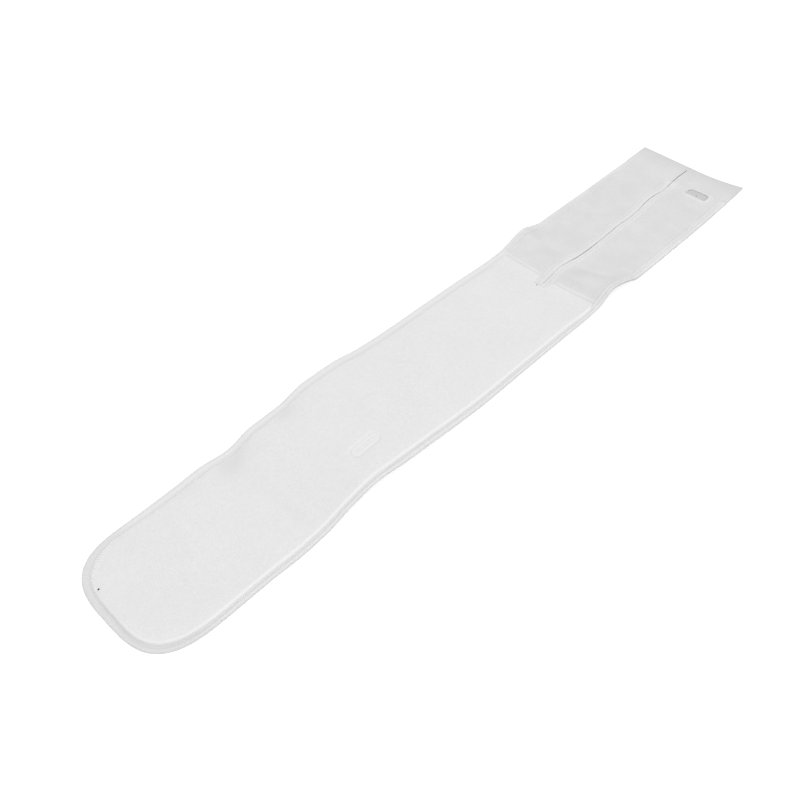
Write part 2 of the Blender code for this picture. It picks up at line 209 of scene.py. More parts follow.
# Sections. inset: share of the piece's width from its outer edge.
# height: share of its own thickness.
Edge = namedtuple("Edge", "inset height")
ROLL_SECTION = (
    Edge(0.10, 0.00),
    Edge(0.02, 0.12),
    Edge(0.00, 0.34),
    Edge(0.04, 0.60),
    Edge(0.14, 0.82),
    Edge(0.30, 0.97),
    Edge(0.48, 1.00),
    Edge(0.64, 0.90),
    Edge(0.78, 0.72),
    Edge(0.90, 0.60),
    Edge(1.02, 0.55),
    Edge(1.12, 0.40),
    Edge(1.02, 0.00),
)
HEM_SECTION = (
    Edge(0.00, 0.40),
    Edge(0.10, 0.66),
    Edge(0.24, 0.86),
    Edge(0.36, 0.98),
    Edge(0.48, 0.82),
    Edge(0.58, 0.26),
    Edge(0.68, 0.80),
    Edge(0.80, 0.96),
    Edge(0.91, 0.60),
    Edge(1.00, 0.04),
)
PLACKET_SECTION = (
    Edge(0.00, 0.02),
    Edge(0.07, 0.36),
    Edge(0.17, 0.84),
    Edge(0.26, 0.76),
    Edge(0.35, 0.28),
    Edge(0.45, 0.80),
    Edge(0.60, 1.05),
    Edge(0.78, 1.00),
    Edge(0.92, 0.94),
    Edge(1.00, 0.74),
)
FACING_SECTION = (
    Edge(0.00, 0.80),
    Edge(0.10, 0.96),
    Edge(0.25, 0.90),
    Edge(0.38, 0.36),
    Edge(0.50, 0.86),
    Edge(0.66, 1.00),
    Edge(0.80, 0.78),
    Edge(0.91, 0.36),
    Edge(1.00, 0.02),
)
RIDGE_SECTION = (
    Edge(0.00, 0.02),
    Edge(0.22, 0.50),
    Edge(0.42, 0.72),
    Edge(0.66, 0.66),
    Edge(0.86, 0.42),
    Edge(1.00, 0.10),
)
PAD_SECTION = (
    Edge(0.00, 0.34),
    Edge(0.05, 0.42),
    Edge(0.14, 0.62),
    Edge(0.26, 0.80),
    Edge(0.42, 0.92),
    Edge(0.65, 0.98),
    Edge(1.00, 1.00),
)

# Soft hollows of the cloth (puffs where depth is negative). length and breadth: reach along
# its own run and across it. turn: degrees from the belt's length towards the near edge.
Hollow = namedtuple("Hollow", "station across length breadth turn depth")
PAD_HOLLOWS = (
    Hollow(0.682, -0.063, 0.017, 0.012, 25, 0.0026),
    Hollow(0.755, -0.060, 0.026, 0.014, 30, 0.0034),
    Hollow(0.757, 0.020, 0.006, 0.060, 0, 0.0009),
    Hollow(0.712, -0.050, 0.018, 0.026, 0, -0.0008),
    Hollow(0.455, -0.052, 0.060, 0.020, 0, 0.0005),
    Hollow(0.585, 0.010, 0.060, 0.030, 20, -0.0006),
    Hollow(0.760, 0.040, 0.050, 0.022, -30, 0.0006),
    Hollow(0.850, 0.000, 0.050, 0.030, 60, -0.0006),
)
POCKET_HOLLOWS = (
    Hollow(0.291, 0.036, 0.016, 0.028, 15, -0.0042),
    Hollow(0.284, -0.036, 0.016, 0.028, -5, -0.0020),
    Hollow(0.267, 0.037, 0.036, 0.0065, 105, 0.0017),
    Hollow(0.266, -0.036, 0.030, 0.0070, 71, 0.0010),
    Hollow(0.236, -0.030, 0.014, 0.026, 6, 0.0006),
    Hollow(0.128, -0.036, 0.034, 0.026, 0, -0.0012),
    Hollow(0.118, 0.036, 0.032, 0.026, 0, -0.0010),
    Hollow(0.076, 0.044, 0.004, 0.030, 4, 0.0004),
    Hollow(0.200, 0.040, 0.012, 0.024, -12, 0.0005),
    Hollow(0.176, -0.040, 0.012, 0.026, 30, 0.0005),
)

# Gathers round the tip's far corner, thread radii, and thickness shares along threads
GATHERS = 24
GATHER_RADIUS = 0.0010
TACK_THREAD = 0.00027
SATIN_THREAD = 0.0002
GATHER_SWELL = (0.6, 0.95, 1, 1, 1, 0.97, 0.92, 0.8, 0.6)
OVERCAST_SWELL = (0.5, 0.9, 1, 1, 1, 1, 1, 1, 0.9, 0.5)
TACK_SWELL = (0.6, 1, 1, 1, 1, 1, 0.6)
SATIN_SWELL = (0.6, 1, 1, 1, 1, 0.6)

# Small dark knots
Knot = namedtuple("Knot", "name station across radius")
PAD_KNOTS = (
    Knot("tip_knot", 0.9365, -0.0300, 0.0008),
    Knot("slit_knot", 0.3302, -0.0043, 0.0006),
)
# A small dark speck inside the slot, shaped and dressed like the knots
SLOT_DARK_SPECK = Knot("slot_knot", 0.0500, 0.0380, 0.0007)

# The pad's cloth simulation
PRESSURE = 4.0
FRAMES = 20
SWELL = 0.0010

# The studio
FLOOR_RADIUS = 9.0
AIR_STRENGTH = 0.49
Lamp = namedtuple("Lamp", "name place size power")
LAMPS = (
    Lamp("key_light", (-3.2, -2.6, 4.0), 3.0, 80),
    Lamp("top_light", (0.8, 0.2, 4.5), 4.5, 138),
)
CAMERA_PLACE = (-0.6176, -0.5012, 0.8014)
CAMERA_TILT = 41.857
CAMERA_TURN = -46.152

# Places that follow from the sizes above
BELT_LENGTH = POCKET_LENGTH + PAD_LENGTH
HALF_WIDTH = BELT_WIDTH / 2
TIP_START = BELT_LENGTH - TIP_DEPTH
PAD_START = POCKET_LENGTH - 8 * GAP
FLAT_END = POCKET_LENGTH + STITCHED_FLAT
RIDGE_START = POCKET_LENGTH - SEAM_RIDGE_WIDTH
SLIT_END = POCKET_LENGTH + SLIT_OVERRUN
TACK_START = SLIT_END + GAP
LAYER_START = END_WRAP + GAP
HEM_INNER = HALF_WIDTH - EDGE_WIDTH
FRONT_UNDER = CLOTH + POCKET_ROOM
FRONT_TOP = FRONT_UNDER + CLOTH
TRIM_UNDER = FRONT_TOP + GAP
TRIM_BASE = FRONT_TOP - GAP
MIDDLE_STATION = (BELT_LENGTH - END_SLANT) / 2
SLOT_ACROSS = HALF_WIDTH - SLOT_FROM_EDGE
EYELET_STATION = POCKET_LENGTH + EYELET_FROM_SEAM
EYELET_ACROSS = HALF_WIDTH - EYELET_FROM_EDGE


# ---------------------------------------------------------------- how the belt lies


class SmoothCurve:
    """A smooth curve through the rows of a short table, level at its crests and valleys."""

    def __init__(self, stations, values):
        self.stations = np.array(stations, float)
        self.values = np.array(values, float)
        rises = np.diff(self.values) / np.diff(self.stations)
        before, after = rises[:-1], rises[1:]
        even = before * after > 0
        self.slopes = np.zeros(len(self.values))
        total = np.where(even, before + after, 1)
        self.slopes[1:-1] = np.where(even, 2 * before * after / total, 0)

    def __call__(self, at):
        at = np.clip(at, self.stations[0], self.stations[-1])
        row = np.searchsorted(self.stations, at, side="right") - 1
        row = np.clip(row, 0, len(self.stations) - 2)
        span = self.stations[row + 1] - self.stations[row]
        t = (at - self.stations[row]) / span
        low, high = self.values[row], self.values[row + 1]
        leave, arrive = self.slopes[row] * span, self.slopes[row + 1] * span
        return (low + leave * t + (3 * (high - low) - 2 * leave - arrive) * t ** 2
                + (leave + arrive - 2 * (high - low)) * t ** 3)


def table_curve(rows, station, value):
    """Smooth curve through two named columns of a table."""
    return SmoothCurve(*([getattr(row, column) for row in rows] for column in (station, value)))


FAR_FOLDS = table_curve(FOLDS, "station", "far")
MIDDLE_FOLDS = table_curve(FOLDS, "station", "middle")
NEAR_FOLDS = table_curve(FOLDS, "station", "near")
BULGE_CURVE = table_curve(BULGES, "station", "height")
PAD_CURVE = table_curve(PAD_SECTION, "inset", "height")
SLIT_SHIFT = table_curve(SLITS, "station", "shift")
SLIT_GAPE = table_curve(SLITS, "station", "gape")


def ramp(value, low, high):
    """0 below low, 1 above high and smooth between them."""
    t = np.clip((value - low) / (high - low), 0, 1)
    return t * t * (3 - 2 * t)


def bell(value, middle, reach):
    """1 at the middle, falling off smoothly to both sides."""
    return np.exp(-((value - middle) / reach) ** 2)


def fold_height(station, across):
    """Height of the folded underside: the middle keeps level, and the edges curl from it."""
    share = station / BELT_LENGTH
    middle = MIDDLE_FOLDS(share)
    edge = np.where(across > 0, NEAR_FOLDS(share), FAR_FOLDS(share))
    curl = np.clip(np.abs(across) / HALF_WIDTH - FLAT_CORE, 0, None) / (1 - FLAT_CORE)
    return FOLD_HEIGHT * (middle + (edge - middle) * curl ** 2)


def sunk(hollows, station, across):
    """How deep a table of hollows lies at each place."""
    depth = np.zeros(np.shape(station))
    for hollow in hollows:
        turn = math.radians(hollow.turn)
        ahead, aside = station - hollow.station, across - hollow.across
        along = (ahead * math.cos(turn) + aside * math.sin(turn)) / hollow.length
        over = (aside * math.cos(turn) - ahead * math.sin(turn)) / hollow.breadth
        depth = depth + hollow.depth * np.exp(-along ** 2 - over ** 2)
    return depth


def front_relief(station, across):
    """How far the front of the pocket stands off its back."""
    share = np.clip(station / POCKET_LENGTH, 0, 1)
    reach = np.clip(np.abs(across) / HEM_INNER, 0, 1)
    puffed = ramp(station, BAND_DEPTH_NEAR, BAND_DEPTH_NEAR + 0.03)
    puffed = puffed * (1 - ramp(station, POCKET_LENGTH - 0.018, POCKET_LENGTH))
    puffs = puffed * (1 - reach ** 4) * sunk(POCKET_HOLLOWS, station, across)
    return BULGE_HEIGHT * BULGE_CURVE(share) * (1 - reach ** 2) - puffs


# ---------------------------------------------------------------- small modelling tools


def fresh():
    """Back to object mode with nothing selected."""
    if bpy.context.mode != "OBJECT":
        bpy.ops.object.mode_set(mode="OBJECT")
    bpy.ops.object.select_all(action="DESELECT")


def activate(piece):
    """The piece alone is selected and active."""
    fresh()
    piece.select_set(True)
    bpy.context.view_layer.objects.active = piece


def take(name):
    """The piece that an operator has just made, under its own name."""
    piece = bpy.context.object
    piece.name = piece.data.name = name
    return piece


def points_of(piece):
    """Places of a piece's vertices as rows of three numbers."""
    places = np.empty(len(piece.data.vertices) * 3)
    piece.data.vertices.foreach_get("co", places)
    return places.reshape(-1, 3)


def set_points(piece, places):
    """Move a piece's vertices to the given rows."""
    piece.data.vertices.foreach_set("co", np.ascontiguousarray(places, float).ravel())
    piece.data.update()


def modify(piece, kind, **settings):
    """Add a modifier with these settings and apply it."""
    activate(piece)
    modifier = piece.modifiers.new(kind.title(), kind)
    for name, value in settings.items():
        setattr(modifier, name, value)
    bpy.ops.object.modifier_apply(modifier=modifier.name)


def face_outwards(piece):
    """Turn all faces of a closed piece outwards."""
    activate(piece)
    bpy.ops.object.mode_set(mode="EDIT")
    bpy.ops.mesh.select_all(action="SELECT")
    bpy.ops.mesh.normals_make_consistent(inside=False)
    bpy.ops.object.mode_set(mode="OBJECT")


def smooth(piece, angle=80):
    """Smooth shading, broken at edges sharper than the angle in degrees."""
    activate(piece)
    bpy.ops.object.shade_smooth_by_angle(angle=math.radians(angle), keep_sharp_edges=False)


def block(name, columns, rows, dropped=None):
    """A thick unit grid: its object, each vertex's column and row, and which are upper.

    dropped is a table of cells, columns by rows, that are cut away before it is thickened."""
    fresh()
    bpy.ops.mesh.primitive_grid_add(x_subdivisions=columns, y_subdivisions=rows, size=2)
    piece = take(name)
    if dropped is not None:
        cut_cells(piece, columns, rows, dropped)
    bpy.ops.object.mode_set(mode="EDIT")
    bpy.ops.mesh.select_all(action="SELECT")
    bpy.ops.mesh.extrude_region_move(TRANSFORM_OT_translate={"value": (0, 0, 1)})
    face_outwards(piece)
    places = points_of(piece)
    column = np.rint((places[:, 0] + 1) / 2 * columns).astype(int)
    row = np.rint((places[:, 1] + 1) / 2 * rows).astype(int)
    return piece, column, row, places[:, 2] > 0.5


def cut_cells(piece, columns, rows, dropped):
    """Delete the chosen cells of a unit grid."""
    bpy.ops.object.mode_set(mode="EDIT")
    bpy.ops.mesh.select_all(action="DESELECT")
    bpy.ops.object.mode_set(mode="OBJECT")
    for face in piece.data.polygons:
        column = int((face.center.x + 1) / 2 * columns)
        row = int((face.center.y + 1) / 2 * rows)
        face.select = bool(dropped[column, row])
    bpy.ops.object.mode_set(mode="EDIT")
    bpy.ops.mesh.select_mode(type="FACE")
    bpy.ops.mesh.delete(type="FACE")
    bpy.ops.object.mode_set(mode="OBJECT")


def cut_along(piece, axis, parts):
    """Divide every edge that runs along an axis into equal parts."""
    bpy.ops.object.mode_set(mode="EDIT")
    bpy.ops.mesh.select_mode(type="EDGE")
    bpy.ops.mesh.select_all(action="DESELECT")
    bpy.ops.object.mode_set(mode="OBJECT")
    for edge in piece.data.edges:
        ends = [piece.data.vertices[k].co[axis] for k in edge.vertices]
        edge.select = abs(ends[0] - ends[1]) > 1e-6
    bpy.ops.object.mode_set(mode="EDIT")
    bpy.ops.mesh.subdivide(number_cuts=parts - 1)
    bpy.ops.object.mode_set(mode="OBJECT")


def spaced(low, high, step, rim=0.0005, more=()):
    """Lines from low to high about step apart, with a line close to each end."""
    inner = np.linspace(low, high, max(2, round((high - low) / step)) + 1)[1:-1]
    kept = [x for x in inner if all(abs(x - m) > 0.3 * step for m in more)]
    return np.array(sorted([low, low + rim, *kept, *more, high - rim, high]))


def layer(name, stations, across, under, top, dropped=None):
    """Closed layer of cloth over a grid of lines. top gives its upper height at a place."""
    piece, column, row, upper = block(name, len(stations) - 1, len(across) - 1, dropped)
    station, side = stations[column], across[row]
    height = np.where(upper, top(station, side), under)
    set_points(piece, np.column_stack((station, side, height)))
    modify(piece, "SUBSURF", levels=1, render_levels=1)
    face_outwards(piece)
    return piece


def section_top(section, low, high, under, thickness, along=False):
    """Upper height of a layer whose top follows a section from its low side to its high side."""
    curve = table_curve(section, "inset", "height")

    def top(station, across):
        place = station if along else across
        return under + thickness * curve((place - low) / (high - low))

    return top


def keep_flat(piece, flat):
    """Store the flat place of each vertex, which the piece's finish follows."""
    kept = piece.data.attributes.new("flat", "FLOAT_VECTOR", "POINT")
    kept.data.foreach_set("vector", np.ascontiguousarray(flat, np.float32).ravel())


def lay(piece, front=0.0, flat=None):
    """Lay a flat piece over the belt's folds; front is how far it follows the pocket's front."""
    places = points_of(piece)
    keep_flat(piece, places if flat is None else flat)
    station, across, height = places.T
    height = height + fold_height(station, across) + front * front_relief(station, across)
    slanted = np.clip(1 - station / BAND_DEPTH_FAR, 0, None)
    station = station - END_SLANT * slanted * across / HALF_WIDTH
    set_points(piece, np.column_stack((MIDDLE_STATION - station, -across, height)))
    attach(piece, "root")


# ---------------------------------------------------------------- the padded end's outline

ARC_ANGLES = np.linspace(0, math.pi, 1441)


def tip_place(angle, inset):
    """Station and side of the rounded tip's outline at an angle and an inset."""
    power = 2 / TIP_SQUARENESS
    c, s = np.cos(angle), np.sin(angle)
    across = np.sign(c) * np.abs(c) ** power
    along = np.abs(s) ** power
    depth = TIP_DEPTH - inset
    return TIP_START + depth * along + TIP_SLANT * along * across, (HALF_WIDTH - inset) * across


def arc_lengths():
    """Length of the tip's outline from the near side up to each of ARC_ANGLES."""
    station, side = tip_place(ARC_ANGLES, 0.0)
    return np.concatenate(([0.0], np.cumsum(np.hypot(np.diff(station), np.diff(side)))))


ARC_LENGTHS = arc_lengths()
SIDE_LENGTH = TIP_START - PAD_START
RIM_LENGTH = 2 * SIDE_LENGTH + ARC_LENGTHS[-1]


def rim_place(along, inset):
    """Station and side at a distance along the rim of the padded end and an inset from it.

    The rim runs from the seam down the near side, round the tip and back up the far side."""
    along, inset = np.broadcast_arrays(np.asarray(along, float), np.asarray(inset, float))
    angle = np.interp(along - SIDE_LENGTH, ARC_LENGTHS, ARC_ANGLES)
    station, side = tip_place(angle, inset)
    near = along < SIDE_LENGTH
    far = along > SIDE_LENGTH + ARC_LENGTHS[-1]
    station = np.where(far, PAD_START + RIM_LENGTH - along, station)
    station = np.where(near, PAD_START + along, station)
    side = np.where(near, HALF_WIDTH - inset, np.where(far, inset - HALF_WIDTH, side))
    return station, side


def rim_inset(station, across):
    """How far inside the rim of the padded end a place is."""
    reach = np.clip((station - TIP_START) / TIP_DEPTH, 0, 1)
    past = np.clip(station - TIP_START - TIP_SLANT * reach * across / HALF_WIDTH, 0, None)
    low = np.zeros_like(past)
    high = np.full_like(past, HALF_WIDTH)
    for _ in range(26):
        inset = (low + high) / 2
        spread = (past / (TIP_DEPTH - inset)) ** TIP_SQUARENESS
        spread = spread + (np.abs(across) / np.maximum(HALF_WIDTH - inset, 1e-6)) ** TIP_SQUARENESS
        outside = spread > 1
        high = np.where(outside, inset, high)
        low = np.where(outside, low, inset)
    return low


def roll_width(station, across):
    """Width of the overcast roll: broad on the far side, turned further under on the near side."""
    near = (EDGE_WIDTH - NEAR_ROLL_WIDTH) * ramp(across, -0.02, 0.06)
    far = (FAR_ROLL_WIDTH - EDGE_WIDTH) * ramp(-across, 0.02, 0.05)
    return EDGE_WIDTH - near + far * (1 - ramp(station, TIP_START - 0.03, TIP_START + 0.05))


def pad_inset(station, across):
    """How far the pad's own outline lies inside the rim."""
    return roll_width(station, across) - GAP


def groove_fill(across):
    """How much the groove between roll and pad is filled: shallow on the far side."""
    return ramp(-across, 0.0, 0.045)


# ---------------------------------------------------------------- thread

THREAD_SIDES = 6


def thread_unit(rings):
    """A straight capped thread: each vertex's ring and angle, and its faces."""
    fresh()
    bpy.ops.mesh.primitive_cylinder_add(
        vertices=THREAD_SIDES, radius=1, depth=1, end_fill_type="NGON")
    piece = bpy.context.object
    cut_along(piece, 2, rings - 1)
    places = points_of(piece)
    ring = np.rint((places[:, 2] + 0.5) * (rings - 1)).astype(int)
    angle = np.arctan2(places[:, 1], places[:, 0])
    faces = [list(face.vertices) for face in piece.data.polygons]
    bpy.data.objects.remove(piece)
    return ring, angle, faces


def threads(name, paths, radius, swell):
    """Copies of one thread bent along paths; swell is the thickness share at each ring."""
    paths = np.asarray(paths, float)
    count, rings = paths.shape[:2]
    if not count:
        raise RuntimeError(f"{name} has no threads")
    ring, angle, faces = thread_unit(rings)
    ahead = np.gradient(paths, axis=1)
    ahead /= np.linalg.norm(ahead, axis=2, keepdims=True)
    ends = paths[:, -1] - paths[:, 0]
    side = np.cross(ends, (0.0, 0.0, 1.0))
    side /= np.maximum(np.linalg.norm(side, axis=1, keepdims=True), 1e-9)
    side = np.repeat(side[:, None, :], rings, axis=1)
    up = np.cross(side, ahead)
    up /= np.linalg.norm(up, axis=2, keepdims=True)
    thick = (radius * np.asarray(swell, float))[ring][None, :, None]
    turn = angle[None, :, None]
    places = paths[:, ring] + thick * (np.cos(turn) * side[:, ring] + np.sin(turn) * up[:, ring])
    length = np.concatenate((np.zeros((count, 1)), np.cumsum(
        np.linalg.norm(np.diff(paths, axis=1), axis=2), axis=1)), axis=1)
    flat = np.stack((
        length[:, ring], np.broadcast_to(angle, (count, len(angle))),
        np.broadcast_to(np.arange(count)[:, None] * 0.01, (count, len(angle)))), axis=2)
    step = len(ring)
    copied = [[v + step * k for v in face] for k in range(count) for face in faces]
    mesh = bpy.data.meshes.new(name)
    mesh.from_pydata(places.reshape(-1, 3), [], copied)
    piece = bpy.data.objects.new(name, mesh)
    bpy.context.scene.collection.objects.link(piece)
    face_outwards(piece)
    return piece, flat.reshape(-1, 3)


class Surface:
    """The upper side of some flat pieces, for what is sewn on them."""

    def __init__(self, *pieces):
        depsgraph = bpy.context.evaluated_depsgraph_get()
        self.trees = [BVHTree.FromObject(piece, depsgraph) for piece in pieces]

    def height(self, station, across):
        """Height of the surface at each place, or 0 beside it."""
        station, across = np.broadcast_arrays(station, across)
        found = np.zeros(station.shape)
        for index in np.ndindex(station.shape):
            origin = Vector((station[index], across[index], 0.05))
            hits = [tree.ray_cast(origin, Vector((0, 0, -1)))[0] for tree in self.trees]
            heights = [hit.z for hit in hits if hit is not None]
            if heights:
                found[index] = max(heights)
        return found


STITCH_SWELL = (0.4, 0.9, 1.0, 0.9, 0.4)
STITCH_SINK = np.array((-0.9, 0.1, 0.4, 0.1, -0.9))


def stitch_rows(surface, lines, pitch, length, radius, drift=None):
    """Paths of running stitches along straight lines (start, end) on a surface that may drift."""
    paths = []
    for start, end in lines:
        start, end = np.array(start, float), np.array(end, float)
        run = np.linalg.norm(end - start)
        ahead = (end - start) / run
        count = max(1, int(run / pitch))
        middles = (np.arange(count) + 0.5) * run / count
        offsets = np.linspace(-length / 2, length / 2, len(STITCH_SWELL))
        places = start + ahead * (middles[:, None] + offsets)[..., None]
        if drift is not None:
            places[..., 1] += drift(places[..., 0], places[..., 1])
        heights = surface.height(places[..., 0], places[..., 1]) + radius * STITCH_SINK
        paths.append(np.concatenate((places, heights[..., None]), axis=2))
    return np.concatenate(paths)


# ---------------------------------------------------------------- finishes


class Value:
    """A number output of a node, so that arithmetic on it adds Math nodes."""

    def __init__(self, finish, socket):
        self.finish = finish
        self.socket = socket

    def __add__(self, other):
        return self.finish.math("ADD", self, other)

    __radd__ = __add__

    def __sub__(self, other):
        return self.finish.math("SUBTRACT", self, other)

    def __rsub__(self, other):
        return self.finish.math("SUBTRACT", other, self)

    def __mul__(self, other):
        return self.finish.math("MULTIPLY", self, other)

    __rmul__ = __mul__


class Finish:
    """A material in the making."""

    def __init__(self, name, roughness=0.9, **constants):
        self.material = bpy.data.materials.new(name)
        self.material.use_nodes = True
        self.tree = self.material.node_tree
        self.shader = self.tree.nodes["Principled BSDF"]
        self.shader.inputs["Roughness"].default_value = roughness
        for socket, value in constants.items():
            self.shader.inputs[socket.replace("_", " ")].default_value = value
        self.flat = self.node(
            "ShaderNodeAttribute", {"attribute_type": "GEOMETRY", "attribute_name": "flat"},
        ).outputs["Vector"]
        split = self.node("ShaderNodeSeparateXYZ", {}, {"Vector": self.flat})
        self.x, self.y = (Value(self, split.outputs[axis]) for axis in "XY")

    def node(self, kind, settings, inputs=None):
        """Add a node with its settings, then the values or links of its sockets."""
        made = self.tree.nodes.new(kind)
        for name, value in settings.items():
            setattr(made, name, value)
        for name, value in (inputs or {}).items():
            self.feed(made.inputs[name], value)
        return made

    def feed(self, socket, value):
        """Link an output to a socket, or set the socket to a constant."""
        if isinstance(value, Value):
            value = value.socket
        if isinstance(value, bpy.types.NodeSocket):
            self.tree.links.new(value, socket)
        else:
            socket.default_value = value

    def math(self, operation, *values):
        """One Math node as a value."""
        made = self.node("ShaderNodeMath", {"operation": operation}, dict(enumerate(values)))
        return Value(self, made.outputs[0])

    def noise(self, size, detail=2.0, rough=0.5, stretch=(1, 1, 1)):
        """Noise about 0.5 whose lumps are about the given size in metres."""
        mapping = self.node("ShaderNodeMapping", {}, {"Vector": self.flat, "Scale": stretch})
        place = mapping.outputs[0]
        made = self.node("ShaderNodeTexNoise", {"noise_dimensions": "3D"}, {
            "Vector": place, "Scale": 1 / size, "Detail": detail, "Roughness": rough,
        })
        return Value(self, made.outputs["Fac"])

    def wave(self, value, pitch):
        """A wave from 0 to 1 that repeats at the pitch."""
        return self.math("SINE", value * (2 * math.pi / pitch)) * 0.5 + 0.5

    def above(self, value, low, high):
        """0 below low, 1 above high."""
        made = self.node("ShaderNodeMapRange", {"interpolation_type": "SMOOTHSTEP"}, {
            "Value": value, "From Min": low, "From Max": high,
        })
        return Value(self, made.outputs["Result"])

    def blend(self, factor, low, high):
        """A colour between two colours."""
        made = self.node("ShaderNodeMix", {"data_type": "RGBA"}, {0: factor, 6: low, 7: high})
        return made.outputs[2]

    def colour(self, socket):
        self.feed(self.shader.inputs["Base Color"], socket)

    def bump(self, height, depth, strength=1.0):
        """Raise the surface by a height from 0 to 1, times the depth in metres."""
        made = self.node("ShaderNodeBump", {}, {
            "Height": height, "Distance": depth, "Strength": strength,
        })
        self.feed(self.shader.inputs["Normal"], made.outputs[0])

    def roughness(self, value):
        self.feed(self.shader.inputs["Roughness"], value)


def tint(colour, share):
    """A colour times a share."""
    return tuple(channel * share for channel in colour)


def shade(colour, share):
    """A colour times a share, with full alpha."""
    return (*tint(colour, share), 1.0)


def napped_finish(name, colour):
    """Brushed nap: soft flecks, small clumps and clouds of tone, with a painted highlight where the
    pad's stored tone is above 0 and painted shade where it is below.
    """
    finish = Finish(name, roughness=0.95, Sheen_Weight=0.15, Sheen_Roughness=0.6)
    flecks = finish.noise(0.0014, detail=3.0, rough=0.6)
    clumps = finish.noise(0.005, detail=2.0)
    clouds = finish.noise(0.045)
    tone = finish.above(flecks * 0.66 + clumps * 0.22 + clouds * 0.12, 0.34, 0.66)
    nap = finish.blend(tone, shade(colour, 0.95), shade(colour, 1.03))
    # Painted light and shade stored on the pad: above 0 lightens the nap as a painted highlight,
    # below 0 darkens it as painted shade
    brushed = Value(finish, finish.node("ShaderNodeAttribute", {
        "attribute_type": "GEOMETRY", "attribute_name": "brushed"}).outputs["Fac"])
    nap = finish.blend(finish.above(brushed, 0.0, 1.0), nap, shade(colour, 1.10))
    finish.colour(finish.blend(finish.above(brushed * -1, 0.0, 1.0), nap, shade(colour, 0.925)))
    fibres = finish.noise(0.0007, detail=2.0, rough=0.7, stretch=(0.6, 1, 1))
    finish.bump(flecks * 0.6 + fibres * 0.4, 0.0009, 0.55)
    return finish.material


def woven_finish(name, colour, pitch=0.0009, depth=0.00012, painted_shade=0.0):
    """Smooth plain-woven cloth with faint slubs; when asked, painted shade darkens it towards the
    belt's square end.
    """
    finish = Finish(name, roughness=0.85, Sheen_Weight=0.08)
    warp = finish.wave(finish.x, pitch)
    weft = finish.wave(finish.y, pitch)
    slubs = finish.noise(0.0016, detail=2.0, rough=0.6, stretch=(0.35, 1, 1))
    clouds = finish.noise(0.03, detail=3.0)
    tone = finish.above(slubs * 0.45 + clouds * 0.55, 0.36, 0.64)
    cloth = finish.blend(tone, shade(colour, 0.96), shade(colour, 1.02))
    if painted_shade:
        # Painted shade: darker towards the belt's square end, where the band rounds over
        painted_end_shade = finish.above(finish.x + clouds * 0.01, 0.002, 0.036)
        cloth = finish.blend(painted_end_shade, shade(colour, 1 - painted_shade), cloth)
    finish.colour(cloth)
    finish.bump(warp * weft * 0.7 + slubs * 0.3, depth, 0.6)
    finish.roughness(0.8 + slubs * 0.15)
    return finish.material


def overcast_finish(name, colour, pitch, painted_shade=0.0):
    """Cloth rolled under close overcast thread: soft ribs across the roll, with painted shade
    darkening its outer edge, the groove beside the pad and the stretch round the tip."""
    finish = Finish(name, roughness=0.92, Sheen_Weight=0.1)
    ribs = finish.wave(finish.x, pitch)
    fuzz = finish.noise(0.0012, detail=3.0, rough=0.6)
    cloth = finish.blend(ribs * 0.5 + fuzz * 0.5, shade(colour, 0.95), shade(colour, 1.03))
    # Painted shade: darker on the roll's outer edge, in the groove beside the pad and round the tip
    if painted_shade:
        outer = finish.above(finish.y + fuzz * 0.0006, 0.0004, 0.0018)
        groove = finish.above(finish.y + fuzz * 0.0006, 0.0046, 0.0060) * 0.5
        past = RIM_LENGTH - finish.x
        tip = finish.above(finish.x, SIDE_LENGTH, SIDE_LENGTH + 0.06)
        tip = tip * finish.above(past, SIDE_LENGTH, SIDE_LENGTH + 0.04) * 0.6
        cloth = finish.blend(outer, shade(colour, 1 - painted_shade), cloth)
        cloth = finish.blend(groove + tip * (1 - groove), cloth, shade(colour, 1 - painted_shade))
    finish.colour(cloth)
    finish.bump(ribs * 0.5 + fuzz * 0.5, 0.00018, 0.6)
    return finish.material


def thread_finish(name, colour, pitch=0.0007):
    """Twisted sewing thread. The flat place holds the length along it and the angle round it."""
    finish = Finish(name, roughness=0.7, Sheen_Weight=0.1)
    twist = finish.wave(finish.x * (2 * math.pi / pitch) + finish.y, 2 * math.pi)
    finish.colour(finish.blend(twist, shade(colour, 0.92), shade(colour, 1.03)))
    finish.bump(twist, 0.00008, 0.7)
    return finish.material


def patch_finish(name, colour):
    """Fine satin-woven patch."""
    finish = Finish(name, roughness=0.6)
    ribs = finish.wave(finish.y, 0.0005)
    clouds = finish.noise(0.004, detail=2.0)
    cloudy = finish.above(clouds, 0.35, 0.65)
    finish.colour(finish.blend(cloudy, shade(colour, 0.95), shade(colour, 1.04)))
    finish.bump(ribs, 0.00006, 0.6)
    return finish.material


def floor_finish(name, colour):
    """Matt floor of a lit shooting table, with the faintest mottle."""
    finish = Finish(name, roughness=0.9, Emission_Color=(1, 1, 1, 1), Emission_Strength=0.35)
    place = finish.node("ShaderNodeTexCoord", {}).outputs["Object"]
    mottle = finish.node("ShaderNodeTexNoise", {}, {"Vector": place, "Scale": 6.0, "Detail": 3.0})
    finish.colour(finish.blend(mottle.outputs["Fac"], shade(colour, 0.995), shade(colour, 1.0)))
    return finish.material


def dress(piece, material):
    """Give a piece its one finish."""
    piece.data.materials.clear()
    piece.data.materials.append(material)


def finish_off(piece, material, front=1.0, angle=80):
    """Lay a piece with the belt, smooth its shading and dress it."""
    lay(piece, front)
    smooth(piece, angle)
    dress(piece, material)


# ---------------------------------------------------------------- settings


def size_prop(name, description, default):
    return bpy.props.FloatProperty(name=name, description=description, default=default, min=0.0,
                                   precision=5, unit="LENGTH")


def colour_prop(name, description, default):
    return bpy.props.FloatVectorProperty(name=name, description=description, default=default,
                                         size=3, min=0.0, max=1.0, subtype="COLOR")


